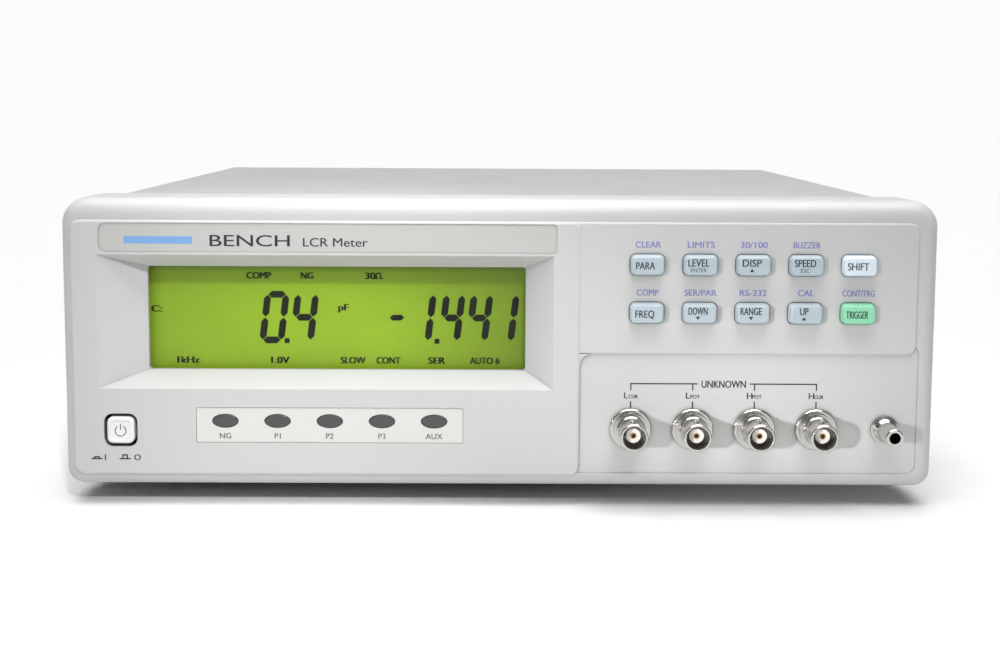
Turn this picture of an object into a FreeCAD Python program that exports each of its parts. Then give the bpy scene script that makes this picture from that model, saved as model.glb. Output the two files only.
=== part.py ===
"""Bench LCR meter: a plastic front bezel on a sheet-metal case, with its keys, display, terminals and works.

Row frame: +Z up, the front faces -Y, +X is to the right of a person facing the front.
The origin is on the bench, under the middle of the bounding box. Lengths are millimetres.
"""
import FreeCAD, Part
import math
import os
from FreeCAD import Vector

# Driving dimensions ---------------------------------------------------------------------------
BEZEL_WIDTH = 310.0
BEZEL_HEIGHT = 103.0
BEZEL_DEPTH = 25.0
CASE_DEPTH = 285.0          # panel face to the rear edge of the cover
CASE_HALF_WIDTH = 152.0
CASE_BOTTOM = 10.0          # underside of the tray above the bench
CASE_TOP = 107.0
BEZEL_BOTTOM = 7.0          # lower edge of the bezel above the bench
TERMINAL_REACH = 12.7       # coaxial terminals in front of the panel face
STUD_REACH = 9.3            # earth stud behind the rear edge of the cover
COVER_SHEET = 1.0
TRAY_SHEET = 1.2
BEND_RADIUS = 2.0

PANEL_WALL = 3.5            # moulded wall behind the panel face
FRAME_STEP = 0.9            # outer frame lies this far behind the display plate
KEY_PLATE_STEP = 0.4
WELL_DEPTH = 8.0            # display well
WELL_BACK = 10.0
TERMINAL_PLATE_STEP = 1.2

KEY_PITCH = 18.6
KEY_FIRST_X = 51.6
KEY_ROWS = (80.4, 63.4)     # heights above the bezel's lower edge
KEY_WIDTH, KEY_HEIGHT = 12.0, 7.4
KEY_REACH = 3.0
KEY_GAP = 0.25

TERMINAL_PITCH = 22.0
TERMINAL_FIRST_X = 46.5
TERMINAL_HEIGHT = 21.6
EARTH_POST_X = 137.0

LAMP_PITCH = 18.5
LAMP_FIRST_X = -97.3
LAMP_HEIGHT = 24.0
LAMP_HALF_WIDTH, LAMP_HALF_HEIGHT = 4.7, 2.55

POWER_X, POWER_HEIGHT = -134.3, 20.6
POWER_SIZE = 9.6
POWER_GAP = 1.1
PAD_DEPTH = 0.3              # sunk square in the button's face

WINDOW = (-125.9, 9.1, 40.9, 78.3)     # display window: x from, x to, height from, height to
WELL = (-142.0, 18.8, 35.5, 83.2)      # mouth of the display well

BOARD_SHEET = 1.6
MAIN_BOARD_Z = 18.0

FRONT_Y = (TERMINAL_REACH - CASE_DEPTH - STUD_REACH) / 2
REAR_PANEL_Y = FRONT_Y + CASE_DEPTH - 1.0       # outer face of the rear panel
REAR_SHEET = 1.5
REAR_SCREW_XS = (-140.0, -10.0, 140.0)
REAR_SCREW_LOW, REAR_SCREW_HIGH = 18.0, 99.0
SUBPANEL_DEPTH = 23.0


# Shape helpers --------------------------------------------------------------------------------
def back(depth):
    """Y of a point that far behind the panel face."""
    return FRONT_Y + depth


def up(height):
    """Z of a point that far above the bezel's lower edge."""
    return BEZEL_BOTTOM + height


def box(x0, x1, y0, y1, z0, z1):
    return Part.makeBox(x1 - x0, y1 - y0, z1 - z0, Vector(x0, y0, z0))


def outline(x0, x1, z0, z1, y, radii):
    """Rounded rectangle facing Y; radii are bottom left, bottom right, top right, top left."""
    lower_left, lower_right, upper_right, upper_left = radii
    corners = (
        (x0, z0, 1, 1, lower_left, 180),
        (x1, z0, -1, 1, lower_right, 270),
        (x1, z1, -1, -1, upper_right, 0),
        (x0, z1, 1, -1, upper_left, 90),
    )
    edges, ends = [], []
    for x, z, inward_x, inward_z, radius, start in corners:
        centre = Vector(x + inward_x * radius, y, z + inward_z * radius)
        points = []
        for degrees in (start, start + 45, start + 90):
            angle = math.radians(degrees)
            points.append(centre + Vector(radius * math.cos(angle), 0, radius * math.sin(angle)))
        edges.append(Part.Arc(*points).toShape())
        ends.append((points[0], points[2]))
    for k in range(4):
        edges.append(Part.LineSegment(ends[k][1], ends[(k + 1) % 4][0]).toShape())
    return Part.Wire(Part.__sortEdges__(edges))


def slab(x0, x1, z0, z1, y0, y1, radius=0.0):
    """Plate facing Y with rounded corners."""
    if not radius:
        return box(x0, x1, y0, y1, z0, z1)
    radii = (radius,) * 4 if isinstance(radius, (int, float)) else radius
    return Part.Face(outline(x0, x1, z0, z1, y0, radii)).extrude(Vector(0, y1 - y0, 0))


def block(x, z, width, height, y0, y1, radius=0.0):
    """Plate facing Y, centred on x and z."""
    return slab(x - width / 2, x + width / 2, z - height / 2, z + height / 2, y0, y1, radius)


def rod_y(x, z, radius, y0, y1):
    return Part.makeCylinder(radius, y1 - y0, Vector(x, y0, z), Vector(0, 1, 0))


def rod_z(x, y, radius, z0, z1):
    return Part.makeCylinder(radius, z1 - z0, Vector(x, y, z0))


def turned(x, z, profile):
    """Turned piece about a Y axis through x and z, from a closed profile of (radius, y) points."""
    points = [Vector(x + radius, y, z) for radius, y in profile]
    face = Part.Face(Part.makePolygon(points + points[:1]))
    return face.revolve(Vector(x, 0, z), Vector(0, 1, 0), 360)


def hexagon_y(x, z, across_flats, y0, y1):
    corner = across_flats / math.sqrt(3)
    points = []
    for k in range(7):
        angle = math.radians(60 * k + 30)
        points.append(Vector(x + corner * math.cos(angle), y0, z + corner * math.sin(angle)))
    return Part.Face(Part.makePolygon(points)).extrude(Vector(0, y1 - y0, 0))


def oval(x, z, half_width, half_height, y0, y1):
    centre = Vector(x, y0, z)
    curve = Part.Ellipse(centre + Vector(half_width, 0, 0), centre + Vector(0, 0, half_height), centre)
    return Part.Face(Part.Wire(curve.toShape())).extrude(Vector(0, y1 - y0, 0))


def bent_strip(points, thickness, bend_radius, place, run):
    """Strip of even thickness along points (u, v), its bends rounded.

    The function place puts (u, v) in space, and run is the extrusion.
    """
    path = [Vector(u, v, 0) for u, v in points]
    ways = [(b - a).normalize() for a, b in zip(path, path[1:])]
    normals = [Vector(-way.y, way.x, 0) for way in ways]
    edges, caps = [], []
    for side in (thickness / 2, -thickness / 2):
        here = path[0] + normals[0] * side
        caps.append(here)
        for k in range(1, len(path) - 1):
            turn = ways[k - 1].getAngle(ways[k])
            sign = math.copysign(1, ways[k - 1].cross(ways[k]).z)
            reach = bend_radius * math.tan(turn / 2)
            centre = path[k] - ways[k - 1] * reach + normals[k - 1] * (bend_radius * sign)
            first = path[k] - ways[k - 1] * reach + normals[k - 1] * side
            last = path[k] + ways[k] * reach + normals[k] * side
            middle = centre + ((first - centre) + (last - centre)).normalize() * (first - centre).Length
            edges.append(Part.LineSegment(place(here), place(first)).toShape())
            edges.append(Part.Arc(place(first), place(middle), place(last)).toShape())
            here = last
        final = path[-1] + normals[-1] * side
        edges.append(Part.LineSegment(place(here), place(final)).toShape())
        caps.append(final)
    edges.append(Part.LineSegment(place(caps[0]), place(caps[2])).toShape())
    edges.append(Part.LineSegment(place(caps[1]), place(caps[3])).toShape())
    return Part.Face(Part.Wire(Part.__sortEdges__(edges))).extrude(run)


def edges_in_plane(shape, y):
    """The edges of shape that lie in the plane at y."""
    found = []
    for edge in shape.Edges:
        span = edge.BoundBox
        if abs(span.YMin - y) < 1e-6 and abs(span.YMax - y) < 1e-6:
            found.append(edge)
    return found


def soften_front(shape, size):
    """Rounds the front rim of a plate."""
    return shape.makeFillet(size, edges_in_plane(shape, shape.BoundBox.YMin))


def screw_y(x, z, y, way, head_radius=2.8, head_height=1.9, shank=6.0, shank_radius=1.25):
    """Cross-head screw on a Y axis; its head's seat is at y and the head points way (+1 or -1)."""
    seat_to_top = sorted((y, y + way * head_height))
    head = rod_y(x, z, head_radius, *seat_to_top)
    top = y + way * head_height
    rim = edges_in_plane(head, top)
    head = head.makeFillet(head_height * 0.45, rim)
    shank_span = sorted((y, y - way * shank))
    solid = head.fuse(rod_y(x, z, shank_radius, *shank_span))
    slot_span = sorted((top - way * 1.1, top + way))
    for width, height in ((head_radius, 0.6), (0.6, head_radius)):
        solid = solid.cut(block(x, z, width, height, *slot_span))
    return solid.removeSplitter()


# Layout helpers -------------------------------------------------------------------------------
def key_places():
    """(column, row, x, z) of every key."""
    for row, height in enumerate(KEY_ROWS):
        for column in range(5):
            yield column, row, KEY_FIRST_X + column * KEY_PITCH, up(height)


def terminal_places():
    return [(TERMINAL_FIRST_X + k * TERMINAL_PITCH, up(TERMINAL_HEIGHT)) for k in range(4)]


def lamp_places():
    return [(LAMP_FIRST_X + k * LAMP_PITCH, up(LAMP_HEIGHT)) for k in range(5)]


BOSS_PLACES = [(-144.5, up(9.6)), (144.5, up(9.6)), (-146.0, up(92.5)), (145.5, up(92.5))]
KEY_POSTS = [(x, up(z)) for x in (40.5, 138.6) for z in (54.5, 91.0)]
DISPLAY_POSTS = [(x, up(z)) for x in (-139.5, 18.8) for z in (36.5, 83.5)]


# Front bezel ----------------------------------------------------------------------------------
def rounded_frame():
    """Outer body of the bezel, its front rim rounded more along the top than elsewhere."""
    half = BEZEL_WIDTH / 2
    front, rear = back(FRAME_STEP), back(BEZEL_DEPTH)
    body = slab(-half, half, up(0), up(BEZEL_HEIGHT), front, rear, (6.0, 6.0, 9.5, 9.5))
    return body.makeFillet(5.5, edges_in_plane(body, front))


def plates():
    """The raised display plate and key plate, and the lower terminal plate."""
    rear = back(PANEL_WALL)
    display = slab(-151.3, 28.4, up(4.3), up(95.5), back(0), rear, (4, 3.4, 3, 4))
    keys = slab(25.5, 147.6, up(48.3), up(95.5), back(KEY_PLATE_STEP), rear, (2, 3.5, 3.5, 2))
    terminals = slab(25.5, 148.4, up(5.4), up(49.0), back(TERMINAL_PLATE_STEP), rear, (2, 3.5, 2, 2))
    corner = box(28.0, 32.0, back(KEY_PLATE_STEP), rear, up(44.7), up(48.5))
    corner = corner.cut(rod_y(32.0, up(44.7), 3.6, back(-1), back(10)))
    return [soften_front(display, 1.2), soften_front(keys, 1.0), terminals, corner]


def display_well():
    """Sloping-sided well from the panel face down to the display window."""
    mouth = (WELL[0], WELL[1], WELL[2], WELL[3], -0.4)
    floor = (WINDOW[0], WINDOW[1], WINDOW[2], WINDOW[3], WELL_DEPTH)
    slope = 0.4 / WELL_DEPTH
    wires = []
    for x0, x1, z0, z1, depth in (mouth, floor):
        if depth < 0:
            x0 -= (WINDOW[0] - WELL[0]) * slope
            x1 += (WELL[1] - WINDOW[1]) * slope
            z0 -= (WINDOW[2] - WELL[2]) * slope
            z1 += (WELL[3] - WINDOW[3]) * slope
        corners = [(x0, z0), (x1, z0), (x1, z1), (x0, z1), (x0, z0)]
        wires.append(Part.makePolygon([Vector(x, back(depth), up(z)) for x, z in corners]))
    return Part.makeLoft(wires, True, True)


def front_bezel():
    body = rounded_frame()
    pocket_radii = (0.5, 0.5, 2.6, 2.6)
    pocket = slab(-152.3, 152.3, up(2.7), CASE_TOP + 0.3, back(PANEL_WALL), back(BEZEL_DEPTH + 1), pocket_radii)
    body = body.cut(pocket)
    recess = slab(25.0, 148.4, up(5.4), up(52.0), back(-1), back(TERMINAL_PLATE_STEP), (2, 3.5, 3, 2))
    body = body.cut(recess).fuse(plates())
    body = body.fuse(slab(-145.0, 23.0, up(31.5), up(87.5), back(2.5), back(WELL_BACK), 1.0))
    body = body.cut(display_well())
    window = [WINDOW[0], WINDOW[1], up(WINDOW[2]), up(WINDOW[3])]
    cuts = [slab(*window, back(WELL_DEPTH - 1), back(WELL_BACK + 1), 1.2)]
    cuts.append(slab(-140.8, 19.8, up(84.2), up(94.4), back(-1), back(0.5), (2.5, 1.6, 1.6, 2.5)))
    cuts.append(slab(-107.6, -13.0, up(16.2), up(28.9), back(-1), back(0.5), 0.6))
    for x, z in lamp_places():
        cuts.append(oval(x, z, LAMP_HALF_WIDTH, LAMP_HALF_HEIGHT, back(-1), back(PANEL_WALL + 1)))
    for _, _, x, z in key_places():
        hole_width, hole_height = KEY_WIDTH + 2 * KEY_GAP, KEY_HEIGHT + 2 * KEY_GAP
        cuts.append(block(x, z, hole_width, hole_height, back(-1), back(PANEL_WALL + 1), 2.2))
    for x, z in terminal_places():
        cuts.append(rod_y(x, z, 4.8, back(-1), back(PANEL_WALL + 1)))
    cuts.append(rod_y(EARTH_POST_X, up(TERMINAL_HEIGHT), 3.1, back(-1), back(PANEL_WALL + 1)))
    power_hole = POWER_SIZE + 2 * POWER_GAP
    cuts.append(block(POWER_X, up(POWER_HEIGHT), power_hole, power_hole, back(-1), back(PANEL_WALL + 1), 3.0))
    body = body.cut(cuts)
    posts = [rod_y(x, z, 3.2, back(3), back(SUBPANEL_DEPTH)) for x, z in BOSS_PLACES]
    posts += [rod_y(x, z, 2.0, back(3), back(8.8)) for x, z in KEY_POSTS]
    posts += [rod_y(x, z, 2.2, back(9), back(19.0)) for x, z in DISPLAY_POSTS]
    body = body.fuse(posts)
    pilots = [rod_y(x, z, 1.3, back(12), back(SUBPANEL_DEPTH + 1)) for x, z in BOSS_PLACES]
    return body.cut(pilots).removeSplitter()


def name_plate():
    return slab(-140.75, 19.75, up(84.25), up(94.35), back(0.25), back(0.5), (2.45, 1.55, 1.55, 2.45))


def lamp_plate():
    plate = slab(-107.5, -13.1, up(16.3), up(28.8), back(0.2), back(0.5), 0.5)
    holes = [oval(x, z, LAMP_HALF_WIDTH, LAMP_HALF_HEIGHT, back(0), back(1)) for x, z in lamp_places()]
    return plate.cut(holes)


def lamp_lenses():
    half_width, half_height = LAMP_HALF_WIDTH - 0.15, LAMP_HALF_HEIGHT - 0.15
    lenses = []
    for x, z in lamp_places():
        lens = oval(x, z, half_width, half_height, back(0.1), back(10.5))
        lenses.append(lens.makeFillet(0.5, edges_in_plane(lens, back(0.1))))
    return lenses


# Keys -----------------------------------------------------------------------------------------
KEY_NAMES = (
    ("parameter", "level", "display", "speed", "shift"),
    ("frequency", "down", "range", "up", "trigger"),
)


def key(x, z):
    """Key cap: a tapering head with a soft rim, a flange behind the panel and a stem on the mat's dome."""
    half_width, half_height = KEY_WIDTH / 2, KEY_HEIGHT / 2
    base = outline(x - half_width, x + half_width, z - half_height, z + half_height, back(-0.4), (1.9,) * 4)
    crown_w, crown_h = half_width - 0.55, half_height - 0.55
    crown = outline(x - crown_w, x + crown_w, z - crown_h, z + crown_h, back(-KEY_REACH), (1.6,) * 4)
    head = Part.makeLoft([base, crown], True, True)
    head = head.makeFillet(0.7, edges_in_plane(head, back(-KEY_REACH)))
    skirt = block(x, z, KEY_WIDTH, KEY_HEIGHT, back(-0.4), back(PANEL_WALL + 0.1), 1.9)
    flange = block(x, z, KEY_WIDTH + 2.4, KEY_HEIGHT + 2.4, back(PANEL_WALL + 0.1), back(4.6), 2.4)
    stem = rod_y(x, z, 2.0, back(4.6), back(6.1))
    return head.fuse([skirt, flange, stem]).removeSplitter()


def key_mat():
    """Silicone sheet with a conical dome under every key."""
    mat = slab(43.8, 135.4, up(56.0), up(89.4), back(8.2), back(8.8), 2.0)
    domes = []
    for _, _, x, z in key_places():
        domes.append(Part.makeCone(3.0, 4.8, 2.0, Vector(x, back(6.2), z), Vector(0, 1, 0)))
    return mat.fuse(domes).removeSplitter()


def key_board():
    board = slab(37.5, 142.0, up(51.5), up(94.0), back(8.8), back(8.8 + BOARD_SHEET), 1.0)
    return board.cut([rod_y(x, z, 1.3, back(8), back(12)) for x, z in KEY_POSTS])


def key_board_screws():
    seat = back(8.8 + BOARD_SHEET)
    return [screw_y(x, z, seat, 1, 2.2, 1.5, BOARD_SHEET, 1.0) for x, z in KEY_POSTS]


# Power button, push rod and switch ------------------------------------------------------------
SWITCH_FRONT_Y, SWITCH_BACK_Y = 84.0, 106.0
ROD_SIZE = 4.0


def power_button():
    x, z = POWER_X, up(POWER_HEIGHT)
    size = POWER_SIZE
    cap = block(x, z, size, size, back(-0.7), back(9.0), 2.2)
    cap = cap.makeFillet(0.9, edges_in_plane(cap, back(-0.7)))
    pad = block(x, z, 7.0, 7.0, back(-1.0), back(-0.7) + PAD_DEPTH, 1.5)
    cap = cap.cut(pad.makeFillet(0.3, edges_in_plane(pad, back(-0.7) + PAD_DEPTH)))
    socket = block(x, z, ROD_SIZE, ROD_SIZE, back(5.0), back(10.0))
    return cap.cut(socket)


def power_push_rod():
    x, z = POWER_X, up(POWER_HEIGHT)
    bar = block(x, z, ROD_SIZE, ROD_SIZE, back(5.0), SWITCH_FRONT_Y + 8.0)
    collar = block(x, z, 6.0, 6.0, SWITCH_FRONT_Y - 14.0, SWITCH_FRONT_Y - 10.0, 0.8)
    return bar.fuse(collar).removeSplitter()


def power_switch():
    x, z = POWER_X, up(POWER_HEIGHT)
    body = block(x, z, 13.0, 13.0, SWITCH_FRONT_Y, SWITCH_BACK_Y, 0.8)
    hole = ROD_SIZE + 0.6
    body = body.cut(block(x, z, hole, hole, SWITCH_FRONT_Y - 1, SWITCH_FRONT_Y + 9.5))
    tags = []
    for side in (-1, 1):
        for height in (-1, 1):
            tags.append(block(x + 3.5 * side, z + 3.5 * height, 2.0, 0.6, SWITCH_BACK_Y, SWITCH_BACK_Y + 5.0))
    return body.fuse(tags)


def switch_bracket():
    """Folded bracket that holds the switch by its front face."""
    x, z = POWER_X, up(POWER_HEIGHT)
    floor = CASE_BOTTOM + TRAY_SHEET
    front = SWITCH_FRONT_Y - 0.5
    points = [(front - 14.0, floor + 0.5), (front, floor + 0.5), (front, z + 9.0)]
    plate = bent_strip(points, 1.0, 1.5, lambda p: Vector(x - 7.5, p.x, p.y), Vector(15.0, 0, 0))
    return plate.cut(block(x, z, 7.0, 7.0, front - 2, front + 2))


# Display --------------------------------------------------------------------------------------
def display_window():
    return slab(-129.5, 11.7, up(38.2), up(80.6), back(WELL_BACK), back(11.5), 1.0)


def display_frame():
    frame = slab(-132.5, 14.2, up(35.0), up(83.8), back(11.5), back(18.9), 1.0)
    frame = frame.cut(slab(-130.0, 12.2, up(37.0), up(81.8), back(12.5), back(20)))
    return frame.cut(slab(-127.4, 9.6, up(40.1), up(78.7), back(11), back(13)))


def display_glass():
    return slab(-129.8, 12.0, up(37.2), up(81.6), back(12.6), back(14.8))


def display_backlight():
    return slab(-129.8, 12.0, up(37.2), up(81.6), back(14.9), back(18.7))


def display_board():
    board = slab(-144.0, 25.0, up(13.0), up(89.0), back(19.0), back(19.0 + BOARD_SHEET), 1.0)
    board = board.cut(box(-145, -125, back(18), back(22), up(12), up(29)))
    return board.cut([rod_y(x, z, 1.3, back(18), back(22)) for x, z in DISPLAY_POSTS])


def display_board_screws():
    seat = back(19.0 + BOARD_SHEET)
    return [screw_y(x, z, seat, 1, 2.2, 1.5, BOARD_SHEET, 1.0) for x, z in DISPLAY_POSTS]


def lamp_leds():
    """Domed lamps standing on the display board behind the lenses."""
    lamps = []
    for x, z in lamp_places():
        dome_centre = back(13.6)
        barrel = rod_y(x, z, 2.0, dome_centre, back(19.0))
        dome = Part.makeSphere(2.0, Vector(x, dome_centre, z))
        rim = rod_y(x, z, 2.4, back(17.8), back(19.0))
        lamps.append(barrel.fuse([dome, rim]).removeSplitter())
    return lamps


# Terminals ------------------------------------------------------------------------------------
PLUG_BORE_RADIUS = 4.07
PLUG_BORE_LENGTH = 3.4
POST_BORE_RADIUS = 2.0
POST_BORE_LENGTH = 11.0


def coaxial_shell(x, z):
    """Turned terminal shell with a flange, a step, a bayonet barrel and a threaded tail."""
    tip, plate = back(-TERMINAL_REACH), back(TERMINAL_PLATE_STEP)
    mouth = tip + PLUG_BORE_LENGTH
    profile = [
        (PLUG_BORE_RADIUS, tip), (4.55, tip), (4.83, tip + 0.35),
        (4.83, plate - 4.6), (5.2, plate - 4.2), (5.2, plate - 3.2),
        (6.1, plate - 3.2), (6.1, plate - 1.7), (7.0, plate - 1.7), (7.3, plate - 1.4), (7.3, plate),
        (4.7, plate), (4.7, back(12.0)), (3.0, back(12.0)), (3.0, tip + 8.4),
        (4.3, tip + 8.4), (4.3, mouth), (PLUG_BORE_RADIUS, mouth),
    ]
    shell = turned(x, z, profile)
    lug = Part.makeCylinder(1.0, 11.0, Vector(x, tip + 4.9, z - 5.5), Vector(0, 0, 1))
    lug = lug.cut(rod_y(x, z, 4.6, tip, plate))
    return shell.fuse(lug).removeSplitter()


def terminal_shells():
    return [coaxial_shell(x, z) for x, z in terminal_places()]


def terminal_insulators():
    tip = back(-TERMINAL_REACH)
    pieces = []
    for x, z in terminal_places():
        profile = [(1.1, tip + 3.5), (2.5, tip + 3.5), (2.6, tip + 3.6), (2.6, tip + 8.5),
                   (2.95, tip + 8.5), (2.95, back(12.4)), (1.1, back(12.4))]
        pieces.append(turned(x, z, profile))
    return pieces


def terminal_contacts():
    tip = back(-TERMINAL_REACH)
    pieces = []
    for x, z in terminal_places():
        profile = [(0.7, tip + 3.4), (1.05, tip + 3.4), (1.05, back(14.5)), (0.0, back(14.5)),
                   (0.0, tip + 8.0), (0.7, tip + 8.0)]
        pieces.append(turned(x, z, profile))
    return pieces


def terminal_nuts():
    """A washer and a hexagonal nut behind the panel on every coaxial terminal."""
    wall = back(PANEL_WALL)
    seat = wall + 0.7
    pieces = []
    for x, z in terminal_places():
        hole = rod_y(x, z, 4.75, wall - 1, seat + 4)
        pieces.append(rod_y(x, z, 7.4, wall, seat).cut(hole))
        pieces.append(hexagon_y(x, z, 14.0, seat, seat + 2.4).cut(hole))
    return pieces


def earth_post():
    x, z = EARTH_POST_X, up(TERMINAL_HEIGHT)
    tip, plate = back(-11.8), back(TERMINAL_PLATE_STEP)
    profile = [
        (POST_BORE_RADIUS, tip), (2.8, tip), (3.1, tip + 0.4), (3.35, plate - 3.6), (4.2, plate - 2.6),
        (4.2, plate - 1.2), (4.9, plate - 1.0), (4.9, plate), (3.0, plate), (3.0, back(13.0)),
        (0.0, back(13.0)), (0.0, tip + POST_BORE_LENGTH), (POST_BORE_RADIUS, tip + POST_BORE_LENGTH),
    ]
    return turned(x, z, profile)


def earth_post_nut():
    x, z = EARTH_POST_X, up(TERMINAL_HEIGHT)
    seat = back(PANEL_WALL)
    return hexagon_y(x, z, 9.0, seat, seat + 3.0).cut(rod_y(x, z, 3.05, seat - 1, seat + 4))


# Case -----------------------------------------------------------------------------------------
CASE_FRONT = 19.0           # depth at which the sheet metal starts, inside the bezel
FOOT_X = 118.0
FOOT_YS = (back(46.0), back(255.0))


def top_cover():
    half, middle = CASE_HALF_WIDTH, COVER_SHEET / 2
    points = [(-half + middle, CASE_BOTTOM), (-half + middle, CASE_TOP - middle),
              (half - middle, CASE_TOP - middle), (half - middle, CASE_BOTTOM)]
    front, rear = back(CASE_FRONT), back(CASE_DEPTH)
    cover = bent_strip(points, COVER_SHEET, BEND_RADIUS, lambda p: Vector(p.x, front, p.y),
                       Vector(0, rear - front, 0))
    slots = []
    for side in (-1, 1):
        for k in range(12):
            y = 35.0 + 7.0 * k
            wall = sorted((side * (half - 3), side * (half + 1)))
            slots.append(box(*wall, y, y + 3.0, 58.0, 90.0))
    for side in (-1, 1):
        for y in SIDE_SCREWS:
            slots.append(Part.makeCylinder(1.7, 6, Vector(side * half - 3, y, SIDE_SCREW_Z), Vector(1, 0, 0)))
    tabs = [rear_tab(x, CASE_TOP - 12.0, CASE_TOP - 0.5) for x in REAR_SCREW_XS]
    pilots = [rod_y(x, REAR_SCREW_HIGH, 1.3, REAR_PANEL_Y - 5, REAR_PANEL_Y) for x in REAR_SCREW_XS]
    return cover.cut(slots).fuse(tabs).cut(pilots).removeSplitter()


def rear_tab(x, z0, z1):
    """Tab folded in behind the rear panel for one of its screws."""
    rear = REAR_PANEL_Y - REAR_SHEET
    return box(x - 6.0, x + 6.0, rear - TRAY_SHEET, rear, z0, z1)


SIDE_SCREWS = (-85.0, 20.0, 125.0)
SIDE_SCREW_Z = 20.0


def cover_screws():
    """Pan-head screws through the cover's sides into the tray."""
    pieces = []
    for side in (-1, 1):
        for y in SIDE_SCREWS:
            screw = screw_y(0, 0, 0, 1, 2.9, 1.9, 5.0, 1.3)
            screw.rotate(Vector(0, 0, 0), Vector(0, 0, 1), -90 * side)
            screw.translate(Vector(side * CASE_HALF_WIDTH, y, SIDE_SCREW_Z))
            pieces.append(screw)
    return pieces


def chassis_tray():
    half, middle = CASE_HALF_WIDTH - COVER_SHEET - 0.1, TRAY_SHEET / 2
    wall_top = 60.0
    points = [(-half + middle, wall_top), (-half + middle, CASE_BOTTOM + middle),
              (half - middle, CASE_BOTTOM + middle), (half - middle, wall_top)]
    front, rear = back(CASE_FRONT), back(CASE_DEPTH - 2.0)
    tray = bent_strip(points, TRAY_SHEET, BEND_RADIUS, lambda p: Vector(p.x, front, p.y),
                      Vector(0, rear - front, 0))
    holes = []
    for k in range(10):
        for x in (-45.0, 5.0, 55.0):
            holes.append(box(x, x + 34.0, -28.0 + 9.0 * k, -24.5 + 9.0 * k, 8.0, 13.0))
    for side in (-1, 1):
        for y in SIDE_SCREWS:
            holes.append(Part.makeCylinder(1.4, 6, Vector(side * half - 3, y, SIDE_SCREW_Z), Vector(1, 0, 0)))
    tabs = [rear_tab(x, CASE_BOTTOM + 0.5, CASE_BOTTOM + 13.0) for x in REAR_SCREW_XS]
    pilots = [rod_y(x, REAR_SCREW_LOW, 1.3, REAR_PANEL_Y - 5, REAR_PANEL_Y) for x in REAR_SCREW_XS]
    return tray.cut(holes).fuse(tabs).cut(pilots).removeSplitter()


def subpanel():
    """Steel plate that closes the case behind the bezel."""
    face = back(SUBPANEL_DEPTH)
    plate = slab(-149.5, 149.5, up(6.0), up(97.5), face, face + TRAY_SHEET, 2.5)
    front, rear = back(SUBPANEL_DEPTH - 1), back(SUBPANEL_DEPTH + 3)
    holes = [rod_y(x, z, 1.6, front, rear) for x, z in BOSS_PLACES]
    holes += [rod_y(x, z, 7.0, front, rear) for x, z in terminal_places()]
    holes.append(rod_y(EARTH_POST_X, up(TERMINAL_HEIGHT), 5.0, front, rear))
    holes.append(block(POWER_X, up(POWER_HEIGHT), 9.0, 9.0, front, rear, 2.0))
    holes.append(slab(-40.0, -10.0, up(47.0), up(59.0), front, rear, 1.0))
    holes.append(slab(80.0, 106.0, up(66.0), up(76.0), front, rear, 1.0))
    return plate.cut(holes)


def bezel_screws():
    seat = back(SUBPANEL_DEPTH + TRAY_SHEET)
    return [screw_y(x, z, seat, 1, 2.8, 1.9, 9.0, 1.2) for x, z in BOSS_PLACES]


# Feet -----------------------------------------------------------------------------------------
def feet():
    """Four rubber feet, each with a well for its screw."""
    pieces = []
    for x in (-FOOT_X, FOOT_X):
        for y in FOOT_YS:
            foot = Part.makeCone(9.0, 10.5, CASE_BOTTOM, Vector(x, y, 0))
            rim = [e for e in foot.Edges if e.BoundBox.ZMax < 1e-6]
            foot = foot.makeFillet(1.2, rim)
            pieces.append(foot.cut(rod_z(x, y, 4.0, -1, 4.0)))
    return pieces


# Rear panel -----------------------------------------------------------------------------------
INLET_X, INLET_Z = -112.0, 52.0
PORT_Z = 29.5
PORTS = ((20.0, 16.9, 30.8), (78.0, 38.9, 53.1))     # x, width of the shell, width of its flange
STUD_X, STUD_Z = -60.0, 30.0
STUD_RADIUS, STUD_SHANK_RADIUS = 1.95, 2.5
STUD_NUT_HEIGHT = 4.0


def d_outline(x, z, width, height, y):
    """Outline of a D-shaped connector: the lower side is the shorter one."""
    lean = height * math.tan(math.radians(10)) / 2
    half_w, half_h = width / 2, height / 2
    corners = [(x - half_w + lean, z - half_h), (x + half_w - lean, z - half_h),
               (x + half_w + lean, z + half_h), (x - half_w - lean, z + half_h)]
    return Part.makePolygon([Vector(a, y, b) for a, b in corners + corners[:1]])


def d_prism(x, z, width, height, y0, y1):
    return Part.Face(d_outline(x, z, width, height, y0)).extrude(Vector(0, y1 - y0, 0))


def rear_panel():
    inner, outer = REAR_PANEL_Y - REAR_SHEET, REAR_PANEL_Y
    panel = slab(-149.5, 149.5, CASE_BOTTOM + 1.4, CASE_TOP - 1.2, inner, outer, 2.5)
    holes = [block(INLET_X, INLET_Z, 27.2, 31.2, inner - 1, outer + 1, 1.0)]
    for x, width, flange in PORTS:
        holes.append(d_prism(x, PORT_Z, width + 0.6, 8.6, inner - 1, outer + 1))
        for side in (-1, 1):
            holes.append(rod_y(x + side * (flange / 2 - 3.0), PORT_Z, 1.7, inner - 1, outer + 1))
    holes.append(rod_y(STUD_X, STUD_Z, STUD_SHANK_RADIUS, inner - 1, outer + 1))
    holes += [rod_y(x, z, 1.6, inner - 1, outer + 1) for x, z in REAR_SCREWS]
    holes += [rod_y(INLET_X + side * 20.0, INLET_Z, 1.6, inner - 1, outer + 1) for side in (-1, 1)]
    for k in range(9):
        for z in (72.0, 84.0):
            holes.append(block(10.0 + 12.0 * k, z, 3.0, 9.0, inner - 1, outer + 1, 1.4))
    return panel.cut(holes)


REAR_SCREWS = [(x, z) for x in REAR_SCREW_XS for z in (REAR_SCREW_LOW, REAR_SCREW_HIGH)]


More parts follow.
